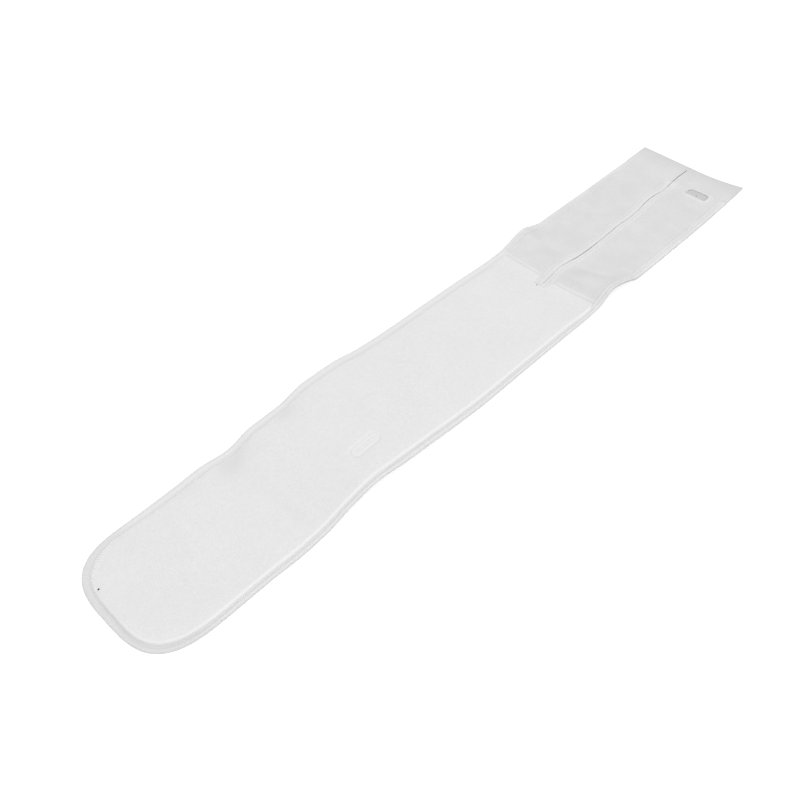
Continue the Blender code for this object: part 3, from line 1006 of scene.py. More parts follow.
class BraceSizes(bpy.types.PropertyGroup):
    """Sizes of the sewing and the finish."""

    overcast_pitch: size_prop("Overcast pitch", "Distance between the roll's stitches", 0.0021)
    overcast_thread: size_prop("Overcast thread", "Radius of the overcast thread", 0.00028)
    stitch_pitch: size_prop("Stitch pitch", "Distance between running stitches", 0.0031)
    stitch_length: size_prop("Stitch length", "Length of a running stitch", 0.0025)
    sewing_thread: size_prop("Sewing thread", "Radius of the sewing thread", 0.00021)
    grid_step: size_prop("Grid step", "Spacing of the cloth's grid before smoothing", 0.003)


class BraceColours(bpy.types.PropertyGroup):
    """Colours of the finishes."""

    pad: colour_prop("Pad", "Brushed nap of the pad", (0.714, 0.714, 0.714))
    roll: colour_prop("Roll", "Overcast edge", (0.72, 0.72, 0.72))
    pocket: colour_prop("Pocket", "Smooth cloth of the pocket", (0.648, 0.648, 0.648))
    trim: colour_prop("Trim", "Hems, placket, facing and ridges", (0.69, 0.69, 0.69))
    band: colour_prop("Band", "Band of the square end", (0.650, 0.650, 0.650))
    thread: colour_prop("Thread", "Sewing and overcast thread", (0.73, 0.73, 0.73))
    patch: colour_prop("Patch", "Plain patch in the slot", (0.53, 0.53, 0.545))
    knot: colour_prop("Knot", "Small dark knots", (0.035, 0.033, 0.033))
    floor: colour_prop("Floor", "Studio floor", (0.88, 0.88, 0.88))


def sizes():
    return bpy.context.scene.brace_sizes


def colours():
    return bpy.context.scene.brace_colours


def finish_of(name, make, *args):
    """A finish by name, made on first use."""
    return bpy.data.materials.get(name) or make(name, *args)


def thread_cloth():
    return finish_of("sewing_thread_finish", thread_finish, colours().thread)


def trim_cloth():
    return finish_of("trim_cloth_finish", woven_finish, colours().trim, 0.0008)


def sewn(name, paths, radius, swell, front=1.0):
    """Threads bent along their paths, laid with the belt and dressed."""
    piece, flat = threads(name, paths, radius, swell)
    smooth(piece)
    lay(piece, front, flat)
    dress(piece, thread_cloth())
    return piece


def sew(name, surface, lines, front=1.0, drift=None):
    """Running stitches along the lines on a surface, laid with the belt."""
    s = sizes()
    paths = stitch_rows(surface, lines, s.stitch_pitch, s.stitch_length, s.sewing_thread, drift)
    sewn(name, paths, s.sewing_thread, STITCH_SWELL, front)


# ---------------------------------------------------------------- the padded end


def pad_thickness(station):
    """Share of the pad's full thickness along the belt: stitched flat where it meets the pocket."""
    low = FRONT_TOP / PAD_THICKNESS
    return low + (1 - low) * ramp(station, FLAT_END - 0.014, FLAT_END + 2.2 * PAD_RISE)


def pad_top(station, across):
    """Upper height of the flat pad."""
    inset = rim_inset(station, across) - pad_inset(station, across)
    crown = PAD_CURVE(np.clip(inset / PAD_SHOULDER, 0, 1))
    crown = 1 - (1 - crown) * (1 - 0.22 * groove_fill(across))
    crown = 1 - (1 - crown) * (0.2 + 0.8 * ramp(station, FLAT_END - 0.014, FLAT_END + PAD_RISE))
    start = ramp(station, PAD_START, PAD_START + 0.0045)
    height = PAD_THICKNESS * crown * pad_thickness(station) * (0.88 + 0.12 * start)
    groove = bell(station, FLAT_END, 0.0022) * ramp(inset, 0.001, 0.006)
    height = height - 0.0005 * groove
    hollow = (0.3 + 0.7 * ramp(inset, 0.0, 0.006)) * sunk(PAD_HOLLOWS, station, across)
    return height - hollow - eyelet_dip(station, across)


def eyelet_reach(station, across):
    """How far a place is from the eyelet's straight middle line."""
    half = (EYELET_LENGTH - EYELET_WIDTH) / 2
    along = np.clip(np.abs(station - EYELET_STATION) - half, 0, None)
    return np.hypot(along, across - EYELET_ACROSS)


def eyelet_dip(station, across):
    """The pad puffs up inside the eyelet and is drawn down in a ditch round it."""
    reach = eyelet_reach(station, across)
    ditch = bell(reach, EYELET_WIDTH / 2 + 0.0006, 0.0019)
    return 0.0008 * ditch - 0.0003 * (1 - ramp(reach, 0.0010, 0.0050))


def pad_rim(along):
    """Station and side of the pad's own outline at a distance along the rim."""
    return rim_place(along, pad_inset(*rim_place(along, 0.0)))


def patch_grid(columns, rows):
    """Flat places of the pad's grid: stations and sides over shares along and across it."""
    corner = float(np.interp(math.pi / 4, ARC_ANGLES, ARC_LENGTHS))
    run = SIDE_LENGTH + corner
    near, far, tip = (np.array(pad_rim(along)) for along in (
        columns * run, RIM_LENGTH - columns * run, run + rows * (RIM_LENGTH - 2 * run)))
    start = np.array((np.full(len(rows), PAD_START), near[1, 0] + (far[1, 0] - near[1, 0]) * rows))
    u, v = columns[:, None], rows[None, :]
    places = []
    for axis in range(2):
        n, f, t, s = near[axis], far[axis], tip[axis], start[axis]
        ruled = (1 - v) * n[:, None] + v * f[:, None] + (1 - u) * s[None, :] + u * t[None, :]
        corners = ((1 - u) * ((1 - v) * s[0] + v * s[-1]) + u * ((1 - v) * t[0] + v * t[-1]))
        places.append(ruled - corners)
    return places


def shares(length, step, close):
    """Shares from 0 to 1, close together near both ends at the given distances."""
    inner = np.linspace(close[-1], length - close[-1], round((length - 2 * close[-1]) / step) + 1)
    ends = np.array((0.0, *close[:-1]))
    return np.concatenate((ends, inner, length - ends[::-1])) / length


def plump(piece, held, cap):
    """Swell a padded piece by cloth simulation with its held vertices sewn down, by cap at most."""
    before = points_of(piece)
    group = piece.vertex_groups.new(name="sewn")
    group.add([int(k) for k in np.flatnonzero(held)], 1.0, "REPLACE")
    activate(piece)
    cloth = piece.modifiers.new("Cloth", "CLOTH")
    cloth.settings.quality = 4
    cloth.settings.vertex_group_mass = group.name
    cloth.settings.use_pressure = True
    cloth.settings.uniform_pressure_force = PRESSURE
    cloth.settings.effector_weights.gravity = 0
    cloth.collision_settings.use_collision = False
    cloth.point_cache.frame_start = 1
    cloth.point_cache.frame_end = FRAMES
    for frame in range(1, FRAMES + 1):
        bpy.context.scene.frame_set(frame)
    bpy.ops.object.modifier_apply(modifier=cloth.name)
    bpy.context.scene.frame_set(1)
    piece.vertex_groups.clear()
    moved = points_of(piece) - before
    length = np.linalg.norm(moved, axis=1, keepdims=True)
    set_points(piece, before + moved * cap / (cap + length))


def pad_painted_shading(station, side):
    """Painted light and shade on the nap: above 0 for a painted highlight on the lit shoulder crest
    and outside the eyelet's far rim, below 0 for painted shade in the groove round the tip, just
    outside the eyelet's near side and in the hollows.
    """
    rim = rim_inset(station, side) - pad_inset(station, side)
    tip = ramp(station, TIP_START, TIP_START + 0.06)
    # Painted highlight along the lit crest of the pad's shoulder, mostly on the near side
    crest = bell(rim, 0.0030, 0.0016) * (0.15 + 0.85 * ramp(side, -0.04, 0.03))
    # Painted shade in the groove at the foot of the shoulder, used round the tip
    groove = bell(rim, 0.0008, 0.0014) * ramp(side, -0.05, 0.0)
    reach = eyelet_reach(station, side)
    # Painted highlight outside the eyelet's far rim and painted shade just outside its near side
    lit = bell(reach, 0.0085, 0.0022) * ramp(EYELET_ACROSS - side, 0.0, 0.006)
    shaded = bell(reach, 0.0066, 0.0015) * ramp(side - EYELET_ACROSS, 0.0, 0.004)
    # Painted shade in the pad's hollows, deepest where they sink most
    deepest = max(hollow.depth for hollow in PAD_HOLLOWS)
    pressed = np.clip(sunk(PAD_HOLLOWS, station, side) / deepest, 0, 1)
    return crest * (1 - 0.3 * tip) - 0.9 * groove * tip + 0.38 * lit - shaded - pressed


def make_pad():
    """The plump napped pad, cut to the rim's outline."""
    close = (0.0006, 0.0014, 0.0026, 0.0042, 0.0064, 0.009, 0.012)
    step = sizes().grid_step
    columns = shares(SIDE_LENGTH + 0.06, step, close)
    rows = shares(2 * (HALF_WIDTH - EDGE_WIDTH), step, close)
    piece, column, row, upper = block("napped_pad", len(columns) - 1, len(rows) - 1)
    station_grid, side_grid = patch_grid(columns, rows)
    station, side = station_grid[column, row], side_grid[column, row]
    tucked = 0.0002 * (1 - ramp(station, POCKET_LENGTH, POCKET_LENGTH + 0.001))
    height = np.where(upper, pad_top(station, side), tucked)
    set_points(piece, np.column_stack((station, side, height)))
    face_outwards(piece)
    rim = rim_inset(station, side) - pad_inset(station, side)
    held = ~upper | (rim < 0.003) | (station < FLAT_END + 0.004)
    plump(piece, held | (eyelet_reach(station, side) < 0.010), SWELL)
    modify(piece, "SUBSURF", levels=1, render_levels=1)
    face_outwards(piece)
    station, side, _ = points_of(piece).T
    # Keep the pad's painted light and shade on its vertices for its finish
    kept = piece.data.attributes.new("brushed", "FLOAT", "POINT")
    kept.data.foreach_set("value", pad_painted_shading(station, side).astype(np.float32))
    return piece


def make_roll():
    """The roll round the padded end, modelled straight and then bent round the rim."""
    fresh()
    bpy.ops.mesh.primitive_circle_add(vertices=len(ROLL_SECTION), radius=1, fill_type="NGON")
    piece = take("overcast_roll")
    inset = EDGE_WIDTH * np.array([edge.inset for edge in ROLL_SECTION])
    height = ROLL_THICKNESS * np.array([edge.height for edge in ROLL_SECTION])
    set_points(piece, np.column_stack((np.zeros(len(inset)), inset, height)))
    bpy.ops.object.mode_set(mode="EDIT")
    bpy.ops.mesh.select_all(action="SELECT")
    bpy.ops.mesh.extrude_region_move(TRANSFORM_OT_translate={"value": (RIM_LENGTH, 0, 0)})
    bpy.ops.object.mode_set(mode="OBJECT")
    parts = round(math.sqrt(4 * RIM_LENGTH / sizes().overcast_pitch))
    cut_along(piece, 0, parts)
    cut_along(piece, 0, parts)
    straight = points_of(piece)
    along, inset, height = straight.T
    lobes = np.cos(2 * math.pi * along / sizes().overcast_pitch)
    upper = ramp(height, 0.0006, 0.002)
    from_seam = np.minimum(along, RIM_LENGTH - along)
    height = height * (0.95 + 0.05 * ramp(from_seam, 0.012, 0.055)) + 0.00010 * lobes * upper
    outer = rim_place(along, 0.0)
    station, side = rim_place(along, inset * roll_width(*outer) / EDGE_WIDTH)
    inner = ramp(inset, EDGE_WIDTH / 2, EDGE_WIDTH)
    height = height + 0.0008 * upper * groove_fill(outer[1]) * inner
    set_points(piece, np.column_stack((station, side, height)))
    face_outwards(piece)
    smooth(piece, 70)
    return piece, straight


def overcast_paths(surface):
    """Each overcast stitch from the pad's shoulder over the roll and under its outer edge."""
    pitch = sizes().overcast_pitch
    radius = sizes().overcast_thread
    count = int(RIM_LENGTH / pitch)
    start = (np.arange(count) + 0.5) * RIM_LENGTH / count
    reach = 0.62 * roll_width(*rim_place(start, 0.0))
    rng = np.random.default_rng(7)
    reach = reach + rng.uniform(-0.0003, 0.0003, count)
    slant = 0.0007
    shares_in = np.linspace(0, 1, 7)
    insets = reach[:, None] * (1 - shares_in) + 0.0007 * shares_in
    along = start[:, None] + slant * (shares_in - 0.5)
    along = along + rng.uniform(-0.0002, 0.0002, count)[:, None]
    station, side = rim_place(along, insets)
    lift = np.array((-0.9, -0.4, -0.3, -0.3, -0.3, -0.3, -0.35))
    height = surface.height(station, side) + radius * lift
    height[:, 1] = np.maximum(height[:, 1], (height[:, 0] + height[:, 2]) / 2)
    upper = np.stack((station, side, height), axis=2)
    outer = []
    for inset, level in ((0.00020, 0.0022), (0.00016, 0.0012), (0.0005, 0.0005)):
        station, side = rim_place(start + slant * 0.6, inset)
        outer.append(np.stack((station, side, np.full(count, level)), axis=1))
    return np.concatenate((upper, np.stack(outer, axis=1)), axis=1)


def gather_paths(surface):
    """Small gathers where the pad's cloth is drawn in round the far corner of the tip."""
    rng = np.random.default_rng(11)
    middle = SIDE_LENGTH + ARC_LENGTHS[-1] * 0.76
    start = middle + np.linspace(-0.036, 0.034, GATHERS) + rng.uniform(-0.0005, 0.0005, GATHERS)
    nearness = bell(start, middle, 0.026)
    share = np.linspace(0, 1, 9)
    low = roll_width(*rim_place(start, 0.0)) + 0.0002
    insets = low[:, None] + (0.0030 + 0.0055 * nearness)[:, None] * share
    along = start[:, None] + rng.uniform(-0.0008, 0.0008, GATHERS)[:, None] * share
    station, side = rim_place(along, insets)
    height = surface.height(station, side)
    sink = np.array((-0.8, -0.4, -0.3, -0.3, -0.35, -0.45, -0.6, -0.8, -1.15))
    return np.stack((station, side, height + GATHER_RADIUS * sink), axis=2)


def make_knot(name, station, across, radius, height=None):
    """A small dark knot shape, wound askew, on the pad or on the pocket's front; also used for the
    dark speck in the slot.
    """
    front = 0.0 if height is None else 1.0
    if height is None:
        height = float(pad_top(np.array(station), np.array(across)))
    fresh()
    bpy.ops.mesh.primitive_uv_sphere_add(segments=20, ring_count=12, radius=radius)
    piece = take(name)
    places = points_of(piece)
    turn = np.arctan2(places[:, 1], places[:, 0])
    wound = 1 + 0.14 * np.sin(3 * turn + 5 * places[:, 2] / radius)
    places = places * wound[:, None] * np.array((1.25, 0.85, 0.6))
    set_points(piece, places + np.array((station, across, height)))
    smooth(piece)
    lay(piece, front)
    dress(piece, finish_of("dark_thread_finish", thread_finish, colours().knot))
    return piece


def make_eyelet():
    """The oval stitched ring: a torus stretched to the eyelet's length and pressed low."""
    fresh()
    band = 0.80 * EYELET_BAND
    ring = (EYELET_WIDTH - EYELET_BAND) / 2
    bpy.ops.mesh.primitive_torus_add(major_segments=96, minor_segments=14, major_radius=ring,
                                     minor_radius=band)
    piece = take("oval_eyelet_ring")
    places = points_of(piece)
    half = (EYELET_LENGTH - EYELET_WIDTH) / 2
    side_on = np.clip(places[:, 0] / 0.0012, -1, 1)
    crest = np.clip(places[:, 2] / band, 0, 1)
    rise = np.where(places[:, 2] > 0, EYELET_CREST / band * crest ** 1.6, 0.8)
    places = np.column_stack((
        EYELET_STATION + places[:, 0] + half * side_on,
        EYELET_ACROSS + places[:, 1],
        PAD_THICKNESS - 0.0005 + places[:, 2] * rise,
    ))
    set_points(piece, places)
    return piece


class BRACE_OT_pad(bpy.types.Operator):
    """Make the napped pad with its eyelet and the rolled, overcast edge"""

    bl_idname = "brace.pad"
    bl_label = "Pad and Overcast Edge"

    def execute(self, context):
        s, c = sizes(), colours()
        pad = make_pad()
        roll, straight = make_roll()
        eyelet = make_eyelet()
        surface = Surface(pad, roll)
        sewn("overcast_stitches", overcast_paths(surface), s.overcast_thread, OVERCAST_SWELL, 0.0)
        gathers, _ = threads("tip_gathers", gather_paths(surface), GATHER_RADIUS, GATHER_SWELL)
        smooth(gathers)
        lay(gathers)
        edge = HALF_WIDTH - 0.010
        sew("pad_start_stitches", surface, [((FLAT_END, -edge), (FLAT_END, edge))], front=0.0)
        smooth(pad)
        smooth(eyelet)
        lay(pad)
        lay(roll, flat=straight)
        lay(eyelet)
        dress(pad, finish_of("napped_pad_finish", napped_finish, c.pad))
        # The gathers wear a lighter copy of the pad's nap: a painted highlight on the raised
        # gathers
        dress(gathers, finish_of("gathers_finish", napped_finish, tint(c.pad, 1.08)))
        dress(eyelet, finish_of("eyelet_finish", overcast_finish, tint(c.pad, 1.05), 0.0011))
        # The roll's finish carries painted shade on its outer edge, in its groove and round the tip
        dress(roll, finish_of("overcast_roll_finish", overcast_finish, c.roll, s.overcast_pitch,
                              0.14))
        for knot in PAD_KNOTS:
            make_knot(*knot)
        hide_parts("pad")
        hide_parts("edge_roll")
        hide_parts("oval_eyelet")
        return {"FINISHED"}


# ---------------------------------------------------------------- the pocket end


def thinned(top, end, run=0.007, left=0.38):
    """A strip's upper height, pressed down to the pad towards the strip's end."""
    def lower(station, across):
        share = 1 - (1 - left) * ramp(station, end - run, end)
        return TRIM_BASE + (top(station, across) - TRIM_BASE) * share

    return lower


def plain_top(under, thickness):
    """Upper height of a layer of even thickness."""
    return lambda station, across: np.full(np.shape(station), under + thickness)


def slit_drift(station, across):
    """How far the wandering slit carries the cloth beside it towards the near edge."""
    return SLIT_SHIFT(station) * (1 - ramp(np.abs(across), 0.013, 0.034))


def open_slit(piece):
    """Let the slit wander along the belt, and draw its sides apart where it gapes."""
    places = points_of(piece)
    station, across = places[:, 0], places[:, 1]
    nearness = np.clip(1 - np.abs(across) / 0.006, 0, 1) ** 2
    drawn = np.sign(across) * (SLIT_GAPE(station) - SLIT_EDGE) * nearness
    places[:, 1] = across + drawn + slit_drift(station, across)
    set_points(piece, places)


class BRACE_OT_pocket(bpy.types.Operator):
    """Make the pocket's back and its two smooth front panels"""

    bl_idname = "brace.pocket"
    bl_label = "Pocket Cloth"

    def execute(self, context):
        step = sizes().grid_step
        cloth = finish_of("pocket_cloth_finish", woven_finish, colours().pocket)
        stations = spaced(LAYER_START, POCKET_LENGTH, step)
        back = layer("pocket_back_cloth", stations, spaced(-HALF_WIDTH, HALF_WIDTH, step), 0.0,
                     plain_top(0.0, CLOTH))
        finish_off(back, cloth, front=0.0)
        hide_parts("pocket_back")
        sides = (
            ("pocket_panel_far", "pocket_front_far", -HALF_WIDTH, -SLIT_EDGE),
            ("pocket_panel_near", "pocket_front_near", SLIT_EDGE, HALF_WIDTH),
        )
        for node, name, low, high in sides:
            panel = layer(name, stations, spaced(low, high, step), FRONT_UNDER,
                          plain_top(FRONT_UNDER, CLOTH))
            open_slit(panel)
            finish_off(panel, cloth)
            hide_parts(node)
        return {"FINISHED"}


class BRACE_OT_hems(bpy.types.Operator):
    """Make the twice-stitched hems along the pocket's outer edges"""

    bl_idname = "brace.hems"
    bl_label = "Pocket Hems"

    def execute(self, context):
        pieces = (
            ("pocket_hem_far", BAND_DEPTH_FAR, -1),
            ("pocket_hem_near", BAND_DEPTH_NEAR, 1),
        )
        for name, depth, side in pieces:
            outer, inner = side * HALF_WIDTH, side * (HALF_WIDTH - HEM_REACH)
            low, high = sorted((outer, inner))
            end = POCKET_LENGTH + HEM_OVERRUN
            top = section_top(HEM_SECTION, outer, inner, TRIM_BASE, HEM_THICKNESS + 2 * GAP)
            top = thinned(top, end, 0.012, 0.1)
            hem = layer(name + "_fold", spaced(depth + GAP, end, 0.0035),
                        np.linspace(low, high, 17), TRIM_BASE, top)
            surface = Surface(hem)
            groove = side * (HALF_WIDTH - 0.58 * HEM_REACH)
            fell = side * (HALF_WIDTH - 0.87 * HEM_REACH)
            rows = [((depth + 0.002, w), (POCKET_LENGTH - 0.001, w)) for w in (groove, fell)]
            sew(name + "_stitches", surface, rows)
            finish_off(hem, trim_cloth())
            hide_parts(name)
        return {"FINISHED"}


class BRACE_OT_slit(bpy.types.Operator):
    """Make the ribbed placket, the facing and the bar tack of the slit"""

    bl_idname = "brace.slit"
    bl_label = "Slit Edges"

    def execute(self, context):
        pieces = (
            ("slit_placket", -PLACKET_WIDTH, -SLIT_EDGE, BAND_DEPTH_FAR, PLACKET_THICKNESS,
             PLACKET_SECTION, (-0.0070, -PLACKET_WIDTH + 0.0008)),
            ("slit_facing", SLIT_EDGE, FACING_WIDTH, BAND_DEPTH_NEAR, FACING_THICKNESS,
             FACING_SECTION, (0.0040, FACING_WIDTH - 0.0014)),
        )
        for name, low, high, depth, thickness, section, rows in pieces:
            top = thinned(section_top(section, low, high, TRIM_BASE, thickness + 2 * GAP), SLIT_END)
            strip = layer(name + "_strip", spaced(depth + GAP, SLIT_END, 0.0035),
                          np.linspace(low, high, 19), TRIM_BASE, top)
            open_slit(strip)
            surface = Surface(strip)
            lines = [((depth + 0.002, w), (SLIT_END - 0.001, w)) for w in rows]
            sew(name + "_stitches", surface, lines, drift=slit_drift)
            finish_off(strip, trim_cloth())
            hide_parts(name)
        self.make_tack()
        return {"FINISHED"}

    def make_tack(self):
        """Close satin stitches side by side over the end of the slit."""
        count = 40
        middles = np.linspace(-PLACKET_WIDTH + 0.0003, TACK_NEAR_REACH - 0.0003, count)
        share = np.linspace(0, 1, 7)
        station = TACK_START + TACK_LENGTH * share[None, :]
        across = middles[:, None] + 0.0002 * np.where(share > 0.5, 1, -1)[None, :]
        level = TRIM_UNDER + TACK_THICKNESS * (0.05 + 0.3 * np.sin(math.pi * share))[None, :]
        paths = np.stack(np.broadcast_arrays(station, across, level), axis=2)
        tack = sewn("bar_tack_threads", paths, TACK_THREAD, TACK_SWELL)
        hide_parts("bar_tack")


class BRACE_OT_seam(bpy.types.Operator):
    """Make the folded ridges where the pocket meets the pad"""

    bl_idname = "brace.seam"
    bl_label = "Seam Ridges"

    def execute(self, context):
        pieces = (
            ("seam_ridge_far", -HEM_INNER + GAP, -PLACKET_WIDTH - GAP),
            ("seam_ridge_near", FACING_WIDTH + GAP, HEM_INNER - GAP),
        )
        for name, low, high in pieces:
            top = section_top(RIDGE_SECTION, RIDGE_START, POCKET_LENGTH, TRIM_BASE,
                              SEAM_RIDGE_THICKNESS + 2 * GAP, along=True)
            ridge = layer(name + "_fold", np.linspace(RIDGE_START, POCKET_LENGTH, 11),
                          spaced(low, high, 0.003), TRIM_BASE, top)
            surface = Surface(ridge)
            sew(name + "_stitches", surface,
                [((RIDGE_START + 0.0012, low + 0.001), (RIDGE_START + 0.0012, high - 0.001))])
            finish_off(ridge, trim_cloth())
            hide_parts(name)
        return {"FINISHED"}


class BRACE_OT_band(bpy.types.Operator):
    """Make the hemmed band of the square end"""

    bl_idname = "brace.band"
    bl_label = "End Band"

    def execute(self, context):
        # The band's finish carries painted shade towards the square end
        cloth = finish_of("band_cloth_finish", woven_finish, colours().band, 0.0009, 0.00012, 0.09)
        rim_low = SLOT_ACROSS - SLOT_LENGTH / 2 - RIM_MARGIN
        rim_high = SLOT_ACROSS + SLOT_LENGTH / 2 + RIM_MARGIN
        hole_start = SLOT_STATION - SLOT_DEPTH / 2 - RIM_MARGIN / 2
        hole_low, hole_high = rim_low + RIM_MARGIN / 2, rim_high - RIM_MARGIN / 2
        marks = (END_WRAP - GAP, END_WRAP, SLIT_START, hole_start,
                 BAND_DEPTH_NEAR - 0.0005, BAND_DEPTH_NEAR)
        stations = spaced(0.0, BAND_DEPTH_FAR, 0.0025, more=marks)
        across = spaced(-HALF_WIDTH, HALF_WIDTH, 0.003, more=(
            -2 * SLIT_EDGE, -SLIT_EDGE, SLIT_EDGE, 2 * SLIT_EDGE, hole_low, hole_high))
        s = ((stations[1:] + stations[:-1]) / 2)[:, None]
        w = ((across[1:] + across[:-1]) / 2)[None, :]
        dropped = (np.abs(w) < SLIT_EDGE) & (s > SLIT_START)
        dropped = dropped | ((w > hole_low) & (w < hole_high) & (s > hole_start))
        dropped = dropped | ((w > 0) & (s > BAND_DEPTH_NEAR))

        def top(station, side):
            depth = np.where(side > 0, BAND_DEPTH_NEAR, BAND_DEPTH_FAR)
            rounded = 0.35 + 0.65 * ramp(station, -0.0005, 0.0055)
            groove = 0.14 * bell(station, depth - BAND_ROW, 0.0009)
            level = TRIM_UNDER + BAND_THICKNESS * rounded * (1 - groove)
            turned = 1 - ramp(station, depth - 0.0036, depth)
            return TRIM_BASE + (level - TRIM_BASE) * (0.05 + 0.95 * turned)

        band = layer("end_band_cloth", stations, across, TRIM_BASE, top, dropped=dropped)
        places = points_of(band)
        wrap = (places[:, 0] < END_WRAP - GAP / 2) & (places[:, 2] < TRIM_BASE + 0.0001)
        places[wrap, 2] = 0.0001
        set_points(band, places)
        open_slit(band)
        surface = Surface(band)
        edge = HALF_WIDTH - 0.003
        far_row, near_row = BAND_DEPTH_FAR - BAND_ROW, BAND_DEPTH_NEAR - BAND_ROW
        rows = [
            ((far_row, -edge), (far_row, -0.0015)),
            ((near_row, 0.0015), (near_row, rim_low - 0.001)),
            ((near_row, rim_high + 0.001), (near_row, edge)),
        ]
        sew("end_band_stitches", surface, rows, drift=slit_drift)
        finish_off(band, cloth)
        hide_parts("end_band")
        return {"FINISHED"}


class BRACE_OT_sheets(bpy.types.Operator):
    bl_idname = "brace.sheets"
    bl_label = "Cut Cloths"

    def execute(self, context):
        return {"FINISHED"}


def rounded_box(length, width, tip_corner, end_corner, steps):
    """Outline about the origin, with one corner radius towards the tip and one away from it."""
    points = []
    for sign_s, sign_w, corner in ((1, 1, tip_corner), (-1, 1, end_corner),
                                   (-1, -1, end_corner), (1, -1, tip_corner)):
        radius = min(corner, length / 2, width / 2)
        turn = 0 if sign_s == sign_w else 1
        for step in range(steps + 1):
            share = step / steps
            angle = math.pi / 2 * (1 - share if turn else share)
            points.append((
                sign_s * (length / 2 - radius + radius * math.cos(angle)),
                sign_w * (width / 2 - radius + radius * math.sin(angle)),
            ))
    return np.array(points)


def along_outline(outline):
    """A closed outline's corners, and how far along it each of them is."""
    closed = np.vstack((outline, outline[:1]))
    steps = np.linalg.norm(np.diff(closed, axis=0), axis=1)
    return closed, np.concatenate(([0.0], np.cumsum(steps)))


def ring_paths(start, end, count):
    """Matching places spread evenly round two outlines."""
    found = []
    for outline in (start, end):
        closed, run = along_outline(outline)
        at = (np.arange(count) + 0.5) / count * run[-1]
        found.append(np.column_stack([np.interp(at, run, closed[:, axis]) for axis in range(2)]))
    return found


class BRACE_OT_slot(bpy.types.Operator):
    """Make the stitched rim of the slot and the plain patch inside it"""

    bl_idname = "brace.slot"
    bl_label = "Slot Rim and Patch"

    def execute(self, context):
        steps = 10
        outer = rounded_box(SLOT_DEPTH + 2 * RIM_MARGIN, SLOT_LENGTH + 2 * RIM_MARGIN,
                            RIM_CORNER, RIM_CORNER, steps)
        inner = rounded_box(SLOT_DEPTH, SLOT_LENGTH, SLOT_TIP_CORNER, SLOT_CORNER, steps)
        profile = ((0.0, -0.4), (0.0, -0.22), (0.14, 0.22), (0.3, 0.6), (0.5, 0.86), (0.75, 1.0),
                   (0.92, 0.94), (1.0, 0.72), (1.0, -0.4))
        rim = self.ring("slot_rim_cloth", outer, inner, profile)
        patch = self.patch("slot_patch_cloth", rounded_box(
            SLOT_DEPTH - 2 * GAP, SLOT_LENGTH - 2 * GAP, SLOT_TIP_CORNER, SLOT_CORNER, steps))
        self.satin(outer, inner)
        self.rim_row(Surface(rim), outer, inner)
        finish_off(rim, trim_cloth(), angle=50)
        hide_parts("slot_rim")
        cloth = finish_of("slot_patch_finish", patch_finish, colours().patch)
        finish_off(patch, cloth, angle=50)
        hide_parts("slot_patch")
        # A small dark speck inside the slot, shaped and dressed like the knots
        make_knot(*SLOT_DARK_SPECK, TRIM_UNDER + LABEL_THICKNESS)
        return {"FINISHED"}

    def ring(self, name, outer, inner, profile):
        """A closed ring whose section runs from the outer outline to the inner one."""
        count = len(outer)
        fresh()
        bpy.ops.mesh.primitive_torus_add(major_segments=count, minor_segments=len(profile))
        piece = take(name)
        places = np.empty((count * len(profile), 3))
        for k in range(count):
            for m, (share, height) in enumerate(profile):
                flat = outer[k] * (1 - share) + inner[k] * share
                places[k * len(profile) + m] = (
                    SLOT_STATION + flat[0], SLOT_ACROSS + flat[1],
                    TRIM_UNDER + RIM_THICKNESS * height)
        set_points(piece, places)
        face_outwards(piece)
        return piece

    def patch(self, name, outline):
        """A flat patch of the given outline, with a softened edge."""
        fresh()
        bpy.ops.mesh.primitive_circle_add(vertices=len(outline), radius=1, fill_type="NGON")
        piece = take(name)
        set_points(piece, np.column_stack((
            SLOT_STATION + outline[:, 0], SLOT_ACROSS + outline[:, 1],
            np.full(len(outline), TRIM_UNDER))))
        bpy.ops.object.mode_set(mode="EDIT")
        bpy.ops.mesh.select_all(action="SELECT")
        bpy.ops.mesh.extrude_region_move(TRANSFORM_OT_translate={"value": (0, 0, LABEL_THICKNESS)})
        bpy.ops.mesh.inset(thickness=0.0004, depth=0.0)
        face_outwards(piece)
        return piece

    def satin(self, outer, inner):
        """Close stitches over the slot's inner edge."""
        mid = outer * 0.62 + inner * 0.38
        place = np.array((SLOT_STATION, SLOT_ACROSS))
        inside = inner * 0.97
        start, end = ring_paths(mid * 0.45 + inner * 0.55, inside, 110)
        share = np.linspace(0, 1, 6)[None, :, None]
        flat = place + start[:, None, :] * (1 - share) + end[:, None, :] * share
        rise = np.array((0.70, 0.99, 1.06, 1.08, 0.98, 0.45)) * RIM_THICKNESS
        height = np.broadcast_to(TRIM_UNDER + rise, flat.shape[:2])
        paths = np.concatenate((flat, height[..., None]), axis=2)
        sewn("slot_edge_threads", paths, SATIN_THREAD, SATIN_SWELL)

    def rim_row(self, surface, outer, inner):
        """One running row near the rim's outer edge."""
        s = sizes()
        line = outer * 0.8 + inner * 0.2
        closed, run = along_outline(line + np.array((SLOT_STATION, SLOT_ACROSS)))
        count = int(run[-1] / s.stitch_pitch)
        middles = (np.arange(count) + 0.5) * run[-1] / count
        offsets = np.linspace(-s.stitch_length / 2, s.stitch_length / 2, len(STITCH_SWELL))
        at = np.mod(middles[:, None] + offsets, run[-1])
        flat = np.stack([np.interp(at, run, closed[:, axis]) for axis in range(2)], axis=2)
        height = surface.height(flat[..., 0], flat[..., 1]) + s.sewing_thread * STITCH_SINK
        paths = np.concatenate((flat, height[..., None]), axis=2)
        sewn("slot_rim_stitches", paths, s.sewing_thread, STITCH_SWELL)


# ---------------------------------------------------------------- the studio


def soft_box(name, place, size, power):
    """A square soft light turned towards the belt's middle."""
    light = bpy.data.lights.new(name, "AREA")
    light.shape = "SQUARE"
    light.size = size
    light.energy = power
    thing = bpy.data.objects.new(name, light)
    bpy.context.scene.collection.objects.link(thing)
    thing.location = place
    thing.rotation_euler = (-thing.location).to_track_quat("-Z", "Y").to_euler()


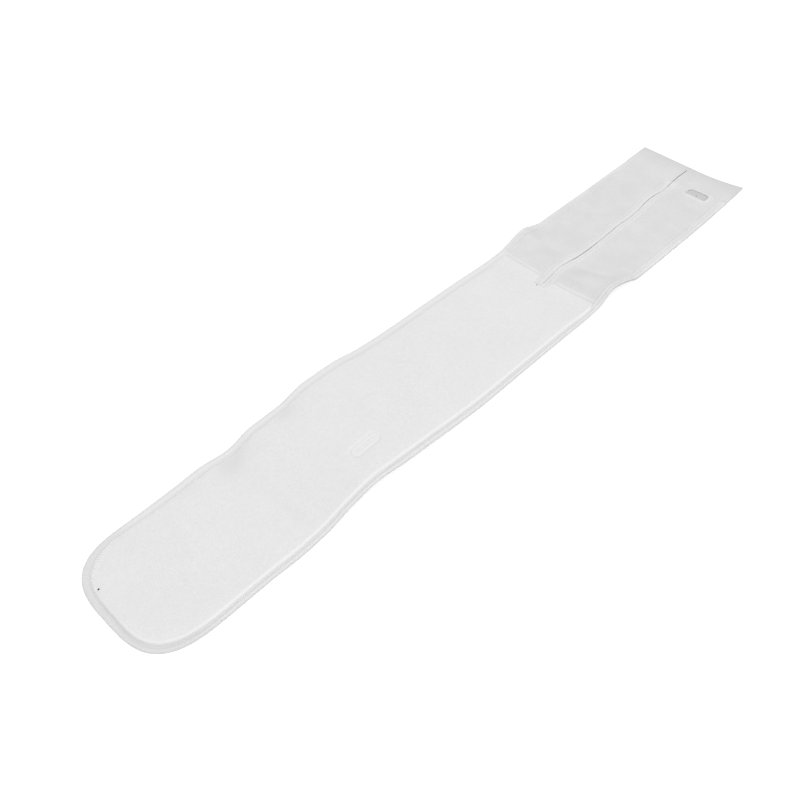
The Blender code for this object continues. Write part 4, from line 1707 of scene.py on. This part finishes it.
class BRACE_OT_studio(bpy.types.Operator):
    """Make the pale floor, the soft lights and the camera"""

    bl_idname = "brace.studio"
    bl_label = "Studio"

    def execute(self, context):
        fresh()
        bpy.ops.mesh.primitive_circle_add(vertices=96, radius=FLOOR_RADIUS, fill_type="NGON")
        floor = take("studio_floor")
        floor.data.materials.append(floor_finish("floor_finish", colours().floor))
        world = bpy.data.worlds.new("studio_air")
        world.use_nodes = True
        background = world.node_tree.nodes["Background"]
        background.inputs["Color"].default_value = (1, 1, 1, 1)
        background.inputs["Strength"].default_value = AIR_STRENGTH
        context.scene.world = world
        context.scene.view_settings.view_transform = "Standard"
        for lamp in LAMPS:
            soft_box(*lamp)
        camera = bpy.data.objects.new("camera", bpy.data.cameras.new("camera"))
        context.scene.collection.objects.link(camera)
        camera.location = CAMERA_PLACE
        camera.rotation_euler = (math.radians(CAMERA_TILT), 0, math.radians(CAMERA_TURN))
        camera.data.lens = 45
        camera.data.sensor_width = 36
        camera.data.clip_start = 0.01
        camera.data.clip_end = 60
        context.scene.camera = camera
        return {"FINISHED"}


class BRACE_PT_panel(bpy.types.Panel):
    """The brace's pieces, sizes and colours"""

    bl_idname = "BRACE_PT_panel"
    bl_label = "Rib Brace"
    bl_space_type = "VIEW_3D"
    bl_region_type = "UI"
    bl_category = "Rib Brace"

    def draw(self, context):
        for operator in OPERATORS:
            self.layout.operator(operator.bl_idname)
        for group in (context.scene.brace_sizes, context.scene.brace_colours):
            box = self.layout.box()
            for name in group.__annotations__:
                box.prop(group, name)


OPERATORS = (BRACE_OT_pocket, BRACE_OT_hems, BRACE_OT_slit, BRACE_OT_seam, BRACE_OT_band,
             BRACE_OT_slot, BRACE_OT_sheets, BRACE_OT_pad, BRACE_OT_studio)
CLASSES = (BraceSizes, BraceColours, *OPERATORS, BRACE_PT_panel)


def register():
    for item in CLASSES:
        bpy.utils.register_class(item)
    bpy.types.Scene.brace_sizes = bpy.props.PointerProperty(type=BraceSizes)
    bpy.types.Scene.brace_colours = bpy.props.PointerProperty(type=BraceColours)


def unregister():
    del bpy.types.Scene.brace_colours
    del bpy.types.Scene.brace_sizes
    for item in reversed(CLASSES):
        bpy.utils.unregister_class(item)


def main():
    register()
    bpy.ops.brace.pocket()
    bpy.ops.brace.hems()
    bpy.ops.brace.slit()
    bpy.ops.brace.seam()
    bpy.ops.brace.band()
    bpy.ops.brace.slot()
    bpy.ops.brace.sheets()
    bpy.ops.brace.pad()
    bpy.ops.brace.studio()


if __name__ == "__main__":
    main()
